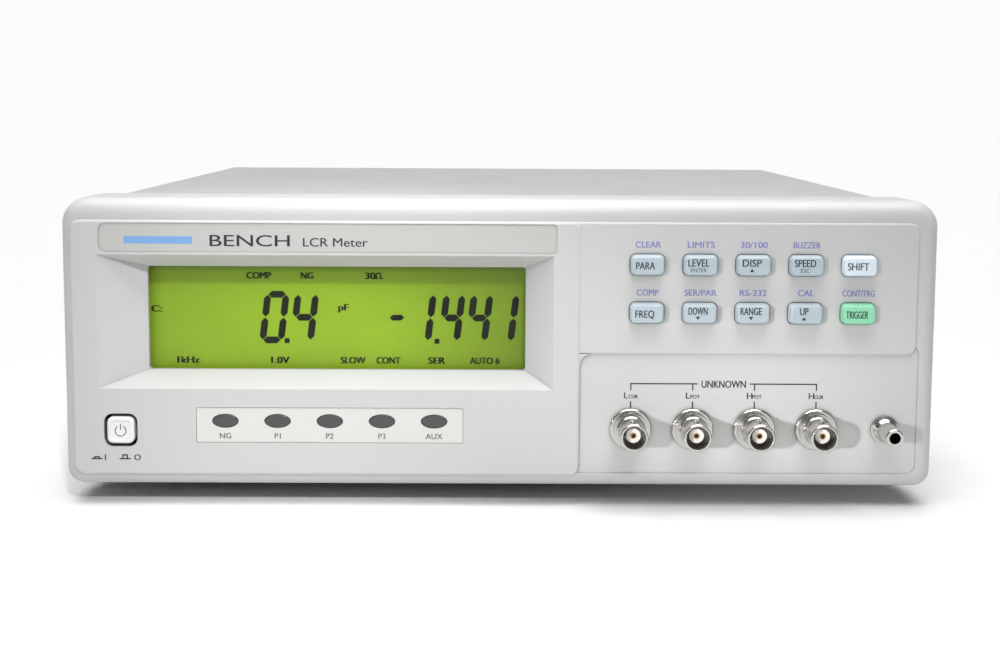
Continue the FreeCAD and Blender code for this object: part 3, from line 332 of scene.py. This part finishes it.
NODE_FINISHES = {
    "bezel": ["front_bezel"], "name_plate": ["name_plate"], "lamp_plate": ["lamp_plate"],
    "lens": ["lamp_lenses"], "led": ["lamp_leds"], "silicone": ["key_mat"],
    "board": ["key_board", "display_board", "main_board"],
    "key": ["key_parameter", "key_level", "key_display", "key_speed", "key_frequency", "key_down",
            "key_range", "key_up"],
    "key_pale": ["key_shift"], "key_green": ["key_trigger"], "button": ["power_button"],
    "black": ["power_push_rod", "power_switch", "mains_inlet", "fuse_drawer", "port_inserts", "buzzer",
              "ribbon_headers", "display_frame"],
    "zinc": ["switch_bracket", "subpanel", "chassis_tray", "board_standoffs", "earth_stud",
             "earth_stud_nut", "port_jackscrews"],
    "window": ["display_window"], "crystal": ["display_glass"], "backlight": ["display_backlight"],
    "nickel": ["terminal_shells", "terminal_nuts", "earth_post_nut", "port_shells", "inlet_blades", "fuse"],
    "post": ["earth_post"], "dielectric": ["terminal_insulators"], "gold": ["terminal_contacts"],
    "cover": ["top_cover", "rear_panel"], "rubber": ["feet"], "screw": ["case_screws", "board_screws"],
    "relay": ["board_relays"], "sleeve": ["board_capacitors"], "anodised": ["heat_sink"],
    "epoxy": ["board_chips", "regulators"], "core": ["transformer_core"], "tape": ["transformer_coil"],
    "ribbon": ["ribbon_cables"],
}


def give_finish(obj, name):
    """Makes one finish an object's only material."""
    obj.data.materials.clear()
    obj.data.materials.append(FINISHES[name].material)


for finish_name, node_names in NODE_FINISHES.items():
    for node_name in node_names:
        give_finish(NODES[node_name], finish_name)


# Mesh tools -----------------------------------------------------------------------------------
def link_object(name, data):
    made = bpy.data.objects.new(name, data)
    bpy.context.scene.collection.objects.link(made)
    return made


def add_piece(name, data, finish, body):
    """Makes a mesh a piece that rides on a body and takes a slot's finish."""
    piece = link_object(name, data)
    give_finish(piece, finish)
    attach(piece, body)
    return piece


CAPITAL = 0.729         # height of a capital in the built-in font at size 1


def text_mesh(words, height, width=None):
    """Flat lettering as a bmesh about the origin in XY, by the height of its capitals and its width."""
    curve = bpy.data.curves.new("lettering", "FONT")
    curve.body = words
    curve.align_x = "CENTER"
    curve.resolution_u = 4
    holder = link_object("lettering", curve)
    bpy.context.view_layer.update()
    flat = bpy.data.meshes.new_from_object(holder.evaluated_get(bpy.context.evaluated_depsgraph_get()))
    bpy.data.objects.remove(holder)
    made = bmesh.new()
    made.from_mesh(flat)
    bpy.data.meshes.remove(flat)
    bmesh.ops.remove_doubles(made, verts=made.verts, dist=1e-5)
    spans = [v.co.x for v in made.verts]
    scale_y = height / CAPITAL
    scale_x = width / (max(spans) - min(spans)) if width else scale_y
    middle = (max(spans) + min(spans)) / 2
    for v in made.verts:
        v.co = Vector(((v.co.x - middle) * scale_x, (v.co.y - CAPITAL / 2) * scale_y, 0))
    return made


def raise_ink(flat, depth):
    """Gives flat faces in XY a thickness towards +Z, closed all round."""
    bmesh.ops.recalc_face_normals(flat, faces=flat.faces)
    for face in flat.faces:
        if face.normal.z < 0:
            face.normal_flip()
    lower = list(flat.faces)
    made = bmesh.ops.extrude_face_region(flat, geom=lower)
    for v in (g for g in made["geom"] if isinstance(g, bmesh.types.BMVert)):
        v.co.z += depth
    for face in lower:
        if face.is_valid:
            face.normal_flip()


def facing_front(x, z, y):
    """Puts a flat drawing on a face that looks towards -Y, its upper side outwards."""
    return Matrix.Translation((x, y, z)) @ Matrix.Rotation(math.pi / 2, 4, "X")


def facing_back(x, z, y):
    """Puts a flat drawing on a face that looks towards +Y, its upper side outwards."""
    upright = Matrix.Rotation(math.pi / 2, 4, "X")
    return Matrix.Translation((x, y, z)) @ Matrix.Rotation(math.pi, 4, "Z") @ upright


INK = 0.03 * MM             # printed ink stands this far off its surface
OVERPRINT = 0.002 * MM      # bold lettering's second layer stands this much higher than its first


class Print:
    """Collects lettering and lines in one ink, then makes them one piece."""

    def __init__(self, depth=INK):
        self.sheet = bmesh.new()
        self.depth = depth

    def take(self, drawing, matrix, extra=0.0):
        """Adds a flat drawing, made solid and put in its place."""
        raise_ink(drawing, self.depth + extra)
        drawing.transform(matrix)
        data = bpy.data.meshes.new("part")
        drawing.to_mesh(data)
        drawing.free()
        self.sheet.from_mesh(data)
        bpy.data.meshes.remove(data)

    def words(self, words, matrix, height, width=None, bold=0.0):
        """Lettering; bold repeats it that far to the right, so that its strokes are thicker."""
        self.take(text_mesh(words, height, width), matrix @ Matrix.Translation((-bold / 2, 0, 0)))
        if bold:
            moved = matrix @ Matrix.Translation((bold / 2, 0, 0))
            self.take(text_mesh(words, height, width), moved, OVERPRINT)

    def polygon(self, points, matrix):
        drawing = bmesh.new()
        drawing.faces.new([drawing.verts.new((x, y, 0)) for x, y in points])
        self.take(drawing, matrix)

    def bar(self, x0, x1, y0, y1, matrix):
        self.polygon([(x0, y0), (x1, y0), (x1, y1), (x0, y1)], matrix)

    def arc(self, radius, width, start, end, matrix, steps=24):
        """Ring segment about the drawing's origin, from start to end degrees."""
        drawing = bmesh.new()
        rows = []
        for k in range(steps + 1):
            angle = math.radians(start + (end - start) * k / steps)
            way = Vector((math.cos(angle), math.sin(angle), 0))
            edges = (radius - width / 2, radius + width / 2)
            rows.append([drawing.verts.new(way * edge) for edge in edges])
        for a, b in zip(rows, rows[1:]):
            drawing.faces.new((a[0], a[1], b[1], b[0]))
        self.take(drawing, matrix)

    def make_piece(self, name, finish, body):
        data = bpy.data.meshes.new(name)
        self.sheet.to_mesh(data)
        self.sheet.free()
        add_piece(name, data, finish, body)


# Key lettering --------------------------------------------------------------------------------
KEY_WORDS = {           # word on the cap, violet word above it, small word or arrow under the word
    "key_parameter": ("PARA", "CLEAR", ""), "key_level": ("LEVEL", "LIMITS", "ENTER"),
    "key_display": ("DISP", "30/100", "up"), "key_speed": ("SPEED", "BUZZER", "ESC"),
    "key_shift": ("SHIFT", "", ""), "key_frequency": ("FREQ", "COMP", ""),
    "key_down": ("DOWN", "SER/PAR", "down"), "key_range": ("RANGE", "RS-232", "down"),
    "key_up": ("UP", "CAL", "up"), "key_trigger": ("TRIGGER", "CONT/TRG", ""),
}

# Width of a word in millimetres by its number of letters, on the caps and above them
KEY_WIDTHS = {2: 2.9, 4: 6.6, 5: 7.4, 7: 7.7}
LEGEND_WIDTHS = {3: 5.7, 4: 7.6, 5: 8.9, 6: 9.5, 7: 11.3, 8: 11.4}


def arrow(ink, way, matrix):
    """Small triangle that points up or down."""
    half = 0.8 * MM
    tip = 0.6 * MM if way == "up" else -0.6 * MM
    points = [(-half, -tip), (half, -tip), (0, tip)]
    ink.polygon(points if way == "up" else points[::-1], matrix)


def key_legends():
    """Words on the caps, and each key's second function above it in violet."""
    violet = Print()
    for node, (word, second, small) in KEY_WORDS.items():
        middle, face = middle_of(node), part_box(node)[0].y
        left = middle.x - 1.0 * MM
        raised = 1.2 * MM if small else 0.1 * MM
        cap = Print()
        on_cap = facing_front(left, middle.z + raised, face)
        cap.words(word, on_cap, height=2.7 * MM, width=KEY_WIDTHS[len(word)] * MM, bold=0.12 * MM)
        under = facing_front(left, middle.z - 1.4 * MM, face)
        if small in ("up", "down"):
            arrow(cap, small, under)
        elif small:
            cap.words(small, under, height=1.4 * MM)
        cap.make_piece(node + "_legend", "ink", node)
        if second:
            above = facing_front(middle.x + 0.25 * MM, middle.z + 7.2 * MM, KEY_FACE)
            width = LEGEND_WIDTHS[len(second)] * MM
            violet.words(second, above, height=2.3 * MM, width=width, bold=0.1 * MM)
    violet.make_piece("panel_legends_violet", "ink_violet", "case")


# Panel lettering ------------------------------------------------------------------------------
LINE = 0.45 * MM            # stroke of the front's printed lines
REAR_LETTER = 3.0 * MM      # height of the rear panel's capitals


def name_legends(black):
    """Plain bar, a generic name and the kind of meter, along one line of the name plate."""
    low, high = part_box("name_plate")
    line = (low.z + high.z) / 2 - 0.9 * MM

    def on_plate(along, drop=0.0):
        return facing_front(low.x + along, line - drop, low.y)

    black.words("BENCH", on_plate(52.85 * MM), height=4.2 * MM, width=28.0 * MM, bold=0.1 * MM)
    kind = on_plate(82.85 * MM, drop=0.5 * MM)
    black.words("LCR Meter", kind, height=3.2 * MM, width=22.6 * MM, bold=0.08 * MM)
    blue = Print()
    half_width, half_height = 12.0 * MM, 1.3 * MM
    blue.bar(-half_width, half_width, -half_height, half_height, on_plate(20.75 * MM))
    blue.make_piece("name_bar", "ink_blue", "case")


def lamp_legends():
    """A word under each of the five lamps."""
    grey = Print()
    lens_low, lens_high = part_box("lamp_lenses")
    plate_low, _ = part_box("lamp_plate")
    words = ("NG", "P1", "P2", "P3", "AUX")
    lens_width = 9.1 * MM
    first = lens_low.x + lens_width / 2
    pitch = (lens_high.x - lens_low.x - lens_width) / (len(words) - 1)
    for k, word in enumerate(words):
        under = facing_front(first + k * pitch, plate_low.z + 2.4 * MM, plate_low.y)
        grey.words(word, under, height=2.1 * MM, bold=0.1 * MM)
    grey.make_piece("lamp_legends", "ink_grey", "case")


def terminal_legends(black):
    """Bracket over the four coaxial terminals, with their names."""
    low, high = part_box("terminal_shells")
    radius = (high.z - low.z) / 2
    first, last, z = low.x + radius, high.x - radius, (low.z + high.z) / 2
    middle, top = (first + last) / 2, z + 16.4 * MM
    gap = 9.2 * MM              # half of the opening in the bracket, for its word
    here = facing_front(0, 0, TERMINAL_FACE)
    black.bar(first - LINE / 2, middle - gap, top - LINE, top, here)
    black.bar(middle + gap, last + LINE / 2, top - LINE, top, here)
    title = facing_front(middle, top - LINE / 2, TERMINAL_FACE)
    black.words("UNKNOWN", title, height=2.7 * MM, width=15.7 * MM, bold=0.14 * MM)
    for k, (letter, word) in enumerate((("L", "CUR"), ("L", "POT"), ("H", "POT"), ("H", "CUR"))):
        x = first + (last - first) * k / 3
        for tick_low, tick_high in ((top - 2.6 * MM, top - LINE), (z + 7.4 * MM, z + 9.8 * MM)):
            black.bar(x - LINE / 2, x + LINE / 2, tick_low, tick_high, here)
        initial = facing_front(x - 1.7 * MM, z + 12.0 * MM, TERMINAL_FACE)
        black.words(letter, initial, height=2.3 * MM, bold=0.12 * MM)
        ending = facing_front(x + 0.9 * MM, z + 11.6 * MM, TERMINAL_FACE)
        black.words(word, ending, height=1.4 * MM, width=3.3 * MM, bold=0.1 * MM)


def power_legends(black):
    """In and out marks under the power button, and the mark on its cap."""
    middle, face = middle_of("power_button"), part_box("power_button")[0].y
    marks = ((-8.7, 0.9, -5.7, "I"), (1.3, 1.6, 5.7, "O"))      # sign's place, its height, letter's place
    for sign_x, height, letter_x, letter in marks:
        here = facing_front(middle.x + sign_x * MM, middle.z - 10.4 * MM, PANEL_Y)
        black.bar(-2.0 * MM, 2.0 * MM, -LINE / 2, LINE / 2, here)
        half, top = 1.0 * MM, height * MM
        black.bar(-half, half, top - LINE, top, here)
        black.bar(-half, -half + LINE, 0, top, here)
        black.bar(half - LINE, half, 0, top, here)
        beside = facing_front(middle.x + letter_x * MM, middle.z - 9.8 * MM, PANEL_Y)
        black.words(letter, beside, height=2.2 * MM, bold=0.14 * MM)
    cap = Print()
    in_pad = facing_front(middle.x, middle.z - 0.2 * MM, face + 0.3 * MM)
    cap.arc(1.9 * MM, width=0.35 * MM, start=125, end=415, matrix=in_pad)
    cap.bar(-0.18 * MM, 0.18 * MM, 0.3 * MM, 2.5 * MM, in_pad)
    cap.make_piece("power_mark", "ink_grey", "power_button")


def front_legends():
    black = Print()
    name_legends(black)
    lamp_legends()
    terminal_legends(black)
    power_legends(black)
    black.make_piece("panel_legends_black", "ink", "case")


def rear_legends():
    """Words over the sockets of the rear panel, and the earth sign over its stud."""
    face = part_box("rear_panel")[1].y
    ink = Print()
    inlet = middle_of("mains_inlet")
    for word, away in (("AC IN", 21.5 * MM), ("FUSE", -21.5 * MM)):
        ink.words(word, facing_back(inlet.x, inlet.z + away, face), REAR_LETTER)
    low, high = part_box("port_shells")
    over = (low.z + high.z) / 2 + 10.5 * MM
    for word, x in (("SERIAL", low.x + 15.4 * MM), ("HANDLER", high.x - 26.5 * MM)):
        ink.words(word, facing_back(x, over, face), REAR_LETTER)
    stud = middle_of("earth_stud")
    here = facing_back(stud.x, stud.z + 10.0 * MM, face)
    stroke = 0.4 * MM
    ink.bar(-stroke / 2, stroke / 2, 0, 2.4 * MM, here)
    for k in range(3):
        half, level = (2.2 - 0.75 * k) * MM, (-0.05 - 0.9 * k) * MM
        ink.bar(-half, half, level - stroke / 2, level + stroke / 2, here)
    ink.make_piece("rear_legends", "ink", "case")


# Display --------------------------------------------------------------------------------------
SEGMENTS_ON = {"0": "abcdef", "1": "bc", "4": "bcfg", "-": "g"}
DIGIT_HEIGHT = 19.2 * MM
DIGIT_LEAN = math.tan(math.radians(7))
DIGIT_DROP = 0.2 * MM           # the digits' middle is this far under the glass's
DOT_HALF = 0.9 * MM             # half of a decimal point's side

# Figure, its place along the glass, width and stroke, in millimetres
DIGITS = (("0", -22.7, 9.1, 2.5), ("4", -11.9, 8.8, 2.5), ("1", 31.2, 7.6, 2.5), ("4", 41.4, 8.1, 2.5),
          ("4", 51.4, 8.2, 2.5), ("1", 61.2, 7.6, 2.5), ("-", 21.6, 7.6, 2.1))
DOTS = (-18.2, 36.1)

# Words, their place along and up the glass and their width, in millimetres
LABELS = (("C:", -65.1, 2.9, 3.8), ("pF", 2.3, 3.6, 3.6),
          ("COMP", -28.2, 15.1, 8.7), ("NG", -10.8, 15.1, 4.3), ("30", 12.0, 15.1, 3.6),
          ("1kHz", -54.0, -15.8, 7.8), ("1.0V", -20.7, -15.8, 6.4), ("SLOW", 5.7, -15.8, 8.8),
          ("CONT", 18.5, -15.8, 8.5), ("SER", 36.0, -15.8, 6.0), ("AUTO 6", 53.4, -15.8, 10.6))


def digit(crystal, figure, width, stroke, here):
    """Seven-segment figure that leans to the right, about its middle."""
    half_w, half_h, half_s = (width - stroke) / 2, (DIGIT_HEIGHT - stroke) / 2, stroke / 2
    gap = 0.06 * stroke

    def strip(ax, ay, bx, by):
        way = Vector((bx - ax, by - ay)).normalized()
        side = Vector((-way.y, way.x))
        a, b = Vector((ax, ay)) + way * gap, Vector((bx, by)) - way * gap
        points = [a, a + way * half_s - side * half_s, b - way * half_s - side * half_s, b,
                  b - way * half_s + side * half_s, a + way * half_s + side * half_s]
        crystal.polygon([(p.x + p.y * DIGIT_LEAN, p.y) for p in points], here)

    lines = {
        "a": (-half_w, half_h, half_w, half_h), "b": (half_w, 0, half_w, half_h),
        "c": (half_w, -half_h, half_w, 0), "d": (-half_w, -half_h, half_w, -half_h),
        "e": (-half_w, -half_h, -half_w, 0), "f": (-half_w, 0, -half_w, half_h),
        "g": (-half_w, 0, half_w, 0),
    }
    for name in SEGMENTS_ON[figure]:
        strip(*lines[name])


def ohm_sign(crystal, here):
    """An open ring on two feet."""
    crystal.arc(0.85 * MM, width=0.5 * MM, start=-50, end=230, matrix=here)
    for side in (-1, 1):
        foot, leg = side * 0.95 * MM, side * 0.55 * MM
        crystal.bar(foot - 0.65 * MM, foot + 0.65 * MM, -1.35 * MM, -0.85 * MM, here)
        crystal.bar(leg - 0.22 * MM, leg + 0.22 * MM, -1.0 * MM, -0.5 * MM, here)


def display_figures():
    """What the lit display shows, on the face of the liquid-crystal cell."""
    crystal = Print(0.02 * MM)

    def on_glass(x, z):
        return facing_front(GLASS_MIDDLE.x + x, GLASS_MIDDLE.z + z, GLASS_LOW.y - 0.03 * MM)

    for figure, x, width, stroke in DIGITS:
        digit(crystal, figure, width * MM, stroke * MM, on_glass(x * MM, -DIGIT_DROP))
    for x in DOTS:
        crystal.bar(-DOT_HALF, DOT_HALF, -DOT_HALF, DOT_HALF, on_glass(x * MM, -8.8 * MM))
    for words, x, z, width in LABELS:
        crystal.words(words, on_glass(x * MM, z * MM), height=2.5 * MM, width=width * MM, bold=0.4 * MM)
    ohm_sign(crystal, on_glass(15.0 * MM, 15.2 * MM))
    crystal.make_piece("display_figures", "segment", "case")


# Key mat --------------------------------------------------------------------------------------
DOME_FOOT = 1.95 * MM           # the mat is cut this far behind its domes' tips, just before its sheet
DOME_REACH = 6.0 * MM           # nothing of a dome is further than this from its key's middle


def part_of(node, level, in_front, middle=None):
    """Closed copy of a node's mesh on one side of a level along Y; with a middle, only what is near it."""
    part = bmesh.new()
    part.from_mesh(NODES[node].data)
    part.transform(NODES[node].matrix_world)
    bmesh.ops.remove_doubles(part, verts=part.verts, dist=1e-6)
    everything = part.verts[:] + part.edges[:] + part.faces[:]
    sides = {"clear_outer": in_front, "clear_inner": not in_front}
    bmesh.ops.bisect_plane(part, geom=everything, plane_co=(0, level, 0), plane_no=(0, 1, 0), **sides)
    if middle:
        far = [v for v in part.verts if math.hypot(v.co.x - middle.x, v.co.z - middle.z) > DOME_REACH]
        bmesh.ops.delete(part, geom=far, context="VERTS")
    bmesh.ops.holes_fill(part, edges=[e for e in part.edges if e.is_boundary], sides=0)
    bmesh.ops.recalc_face_normals(part, faces=part.faces)
    data = bpy.data.meshes.new(node)
    part.to_mesh(data)
    part.free()
    return data


def soft_domes():
    """The keys' silicone domes, each a piece with its own mesh, and the sheet that joins them."""
    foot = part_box("key_mat")[0].y + DOME_FOOT
    sheet = add_piece("key_mat_sheet", part_of("key_mat", foot, False), "silicone", "case")
    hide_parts("key_mat")
    for node in KEY_WORDS:
        middle = middle_of(node)
        shape = part_of("key_mat", foot, True, middle)
        dome = add_piece(node.replace("key_", "key_dome_"), shape, "silicone", "case")
        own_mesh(dome)


key_legends()
front_legends()
soft_domes()
display_figures()
rear_legends()


# Stage ----------------------------------------------------------------------------------------
FLOOR = paint(223, 223, 223)
FLOOR_HALF = 8.0                # half of the floor's side


def make_floor():
    """Pale seamless sheet under the meter."""
    data = bpy.data.meshes.new("floor")
    corners = [(x * FLOOR_HALF, y * FLOOR_HALF, 0) for x, y in ((-1, -1), (1, -1), (1, 1), (-1, 1))]
    data.from_pydata(corners, [], [(0, 1, 2, 3)])
    finish = Finish("floor_paper", Specular_IOR_Level=0.1)
    finish.tint(FLOOR, size_mm=300.0, amount=0.006, fleck_mm=5.0, fleck=0.004)
    finish.gloss(0.85, 0.95, size_mm=50.0)
    data.materials.append(finish.material)
    link_object("floor", data)


# Light ----------------------------------------------------------------------------------------
SKY = 0.22                      # radiance of the studio's walls and ceiling
SIDE = 0.06                     # radiance of the dark flags at both sides
FLAG_SPAN = (0.35, 0.9)         # share along X of the directions where the flags start and are full
SKY_SHARE = 0.65                # share of SKY that lights the floor, since the flags hide some of the walls
OVERHEAD = 3.7                  # irradiance of the overhead softbox
OVERHEAD_WAY = Vector((0.0, 0.08, -1.0)).normalized()
LAMP_DISTANCE = 1.2             # from the front to the two lamps on stands


def link_light(name, kind, place, way, **settings):
    """Light at a place that shines along way."""
    data = bpy.data.lights.new(name, kind)
    for key, value in settings.items():
        setattr(data, key, value)
    light = link_object(name, data)
    light.location = place
    light.rotation_euler = way.to_track_quat("-Z", "Y").to_euler()
    return light


def link_lamp(name, x, height, way, irradiance, half_width):
    """Soft-edged lamp that shines along way on a point of the panel, with half the light half_width away."""
    target = Vector((x, PANEL_Y, BASE_Z + height))
    way = way.normalized()
    edge = half_width / math.sqrt(0.5)
    link_light(name, "SPOT", target - way * LAMP_DISTANCE, way,
               energy=irradiance * 4 * math.pi * LAMP_DISTANCE ** 2,
               spot_size=2 * math.atan(edge / LAMP_DISTANCE), spot_blend=1.0, shadow_soft_size=0.05)


def make_walls():
    """Walls that light the meter, darker at the sides; the camera sees them in the floor's own white."""
    world = bpy.data.worlds.new("studio")
    bpy.context.scene.world = world
    world.use_nodes = True
    nodes, link = world.node_tree.nodes, world.node_tree.links.new
    walls = nodes["Background"]
    walls.inputs["Color"].default_value = (1, 1, 1, 1)
    way = nodes.new("ShaderNodeSeparateXYZ")
    link(nodes.new("ShaderNodeTexCoord").outputs["Generated"], way.inputs[0])
    sideways = nodes.new("ShaderNodeMath")
    sideways.operation = "ABSOLUTE"
    link(way.outputs["X"], sideways.inputs[0])
    dim = nodes.new("ShaderNodeMapRange")
    link(sideways.outputs[0], dim.inputs["Value"])
    for socket, value in zip(("From Min", "From Max", "To Min", "To Max"), (*FLAG_SPAN, SKY, SIDE)):
        dim.inputs[socket].default_value = value
    link(dim.outputs[0], walls.inputs["Strength"])
    backdrop = nodes.new("ShaderNodeBackground")
    backdrop.inputs["Color"].default_value = (1, 1, 1, 1)
    lit_floor = FLOOR[0] * (SKY_SHARE * SKY - OVERHEAD * OVERHEAD_WAY.z / math.pi)
    backdrop.inputs["Strength"].default_value = lit_floor
    mixed = nodes.new("ShaderNodeMixShader")
    link(nodes.new("ShaderNodeLightPath").outputs["Is Camera Ray"], mixed.inputs[0])
    link(walls.outputs[0], mixed.inputs[1])
    link(backdrop.outputs[0], mixed.inputs[2])
    link(mixed.outputs[0], nodes["World Output"].inputs["Surface"])


def make_lamps():
    """Softbox overhead, a lamp at each side of the front and a strip over the bezel's upper edge."""
    link_light("overhead", "SUN", (0, 0, 1), OVERHEAD_WAY, energy=OVERHEAD, angle=math.radians(60))
    link_lamp("left_lamp", x=90 * MM, height=32 * MM, way=Vector((0.85, 1.0, -0.16)),
              irradiance=3.5, half_width=45 * MM)
    link_lamp("right_lamp", x=-68 * MM, height=62 * MM, way=Vector((-0.3, 1.0, -0.95)),
              irradiance=2.5, half_width=92 * MM)
    strip_x = 88 * MM
    place = Vector((strip_x, PANEL_Y - 62 * MM, BASE_Z + 250 * MM))
    way = Vector((strip_x, PANEL_Y, BASE_Z + 104 * MM)) - place
    strip = link_light("strip_lamp", "AREA", place, way, energy=0.11, shape="RECTANGLE",
                       size=150 * MM, size_y=30 * MM)
    strip.visible_camera = False


# Camera ---------------------------------------------------------------------------------------
CAMERA_X = -2.7 * MM
CAMERA_HEIGHT = 136.0 * MM          # above the bezel's lower edge
CAMERA_DISTANCE = 450.0 * MM        # in front of the panel
CAMERA_PITCH = math.radians(5.26)
CAMERA_YAW = math.radians(0.31)
CAMERA_ROLL = math.radians(0.3)


def make_camera():
    """The photograph's view: from in front and a little above the meter, looking slightly down."""
    data = bpy.data.cameras.new("camera")
    data.sensor_width = 36.0
    data.lens = 46.5
    data.shift_y = -0.1
    data.clip_start, data.clip_end = 0.01, 50.0
    camera = link_object("camera", data)
    camera.location = (CAMERA_X, PANEL_Y - CAMERA_DISTANCE, BASE_Z + CAMERA_HEIGHT)
    turn = Matrix.Rotation(-CAMERA_YAW, 3, "Z") @ Matrix.Rotation(math.pi / 2 - CAMERA_PITCH, 3, "X")
    camera.rotation_euler = (turn @ Matrix.Rotation(CAMERA_ROLL, 3, "Z")).to_euler()
    bpy.context.scene.camera = camera


make_floor()
make_walls()
make_lamps()
make_camera()
bpy.context.scene.view_settings.view_transform = "Standard"
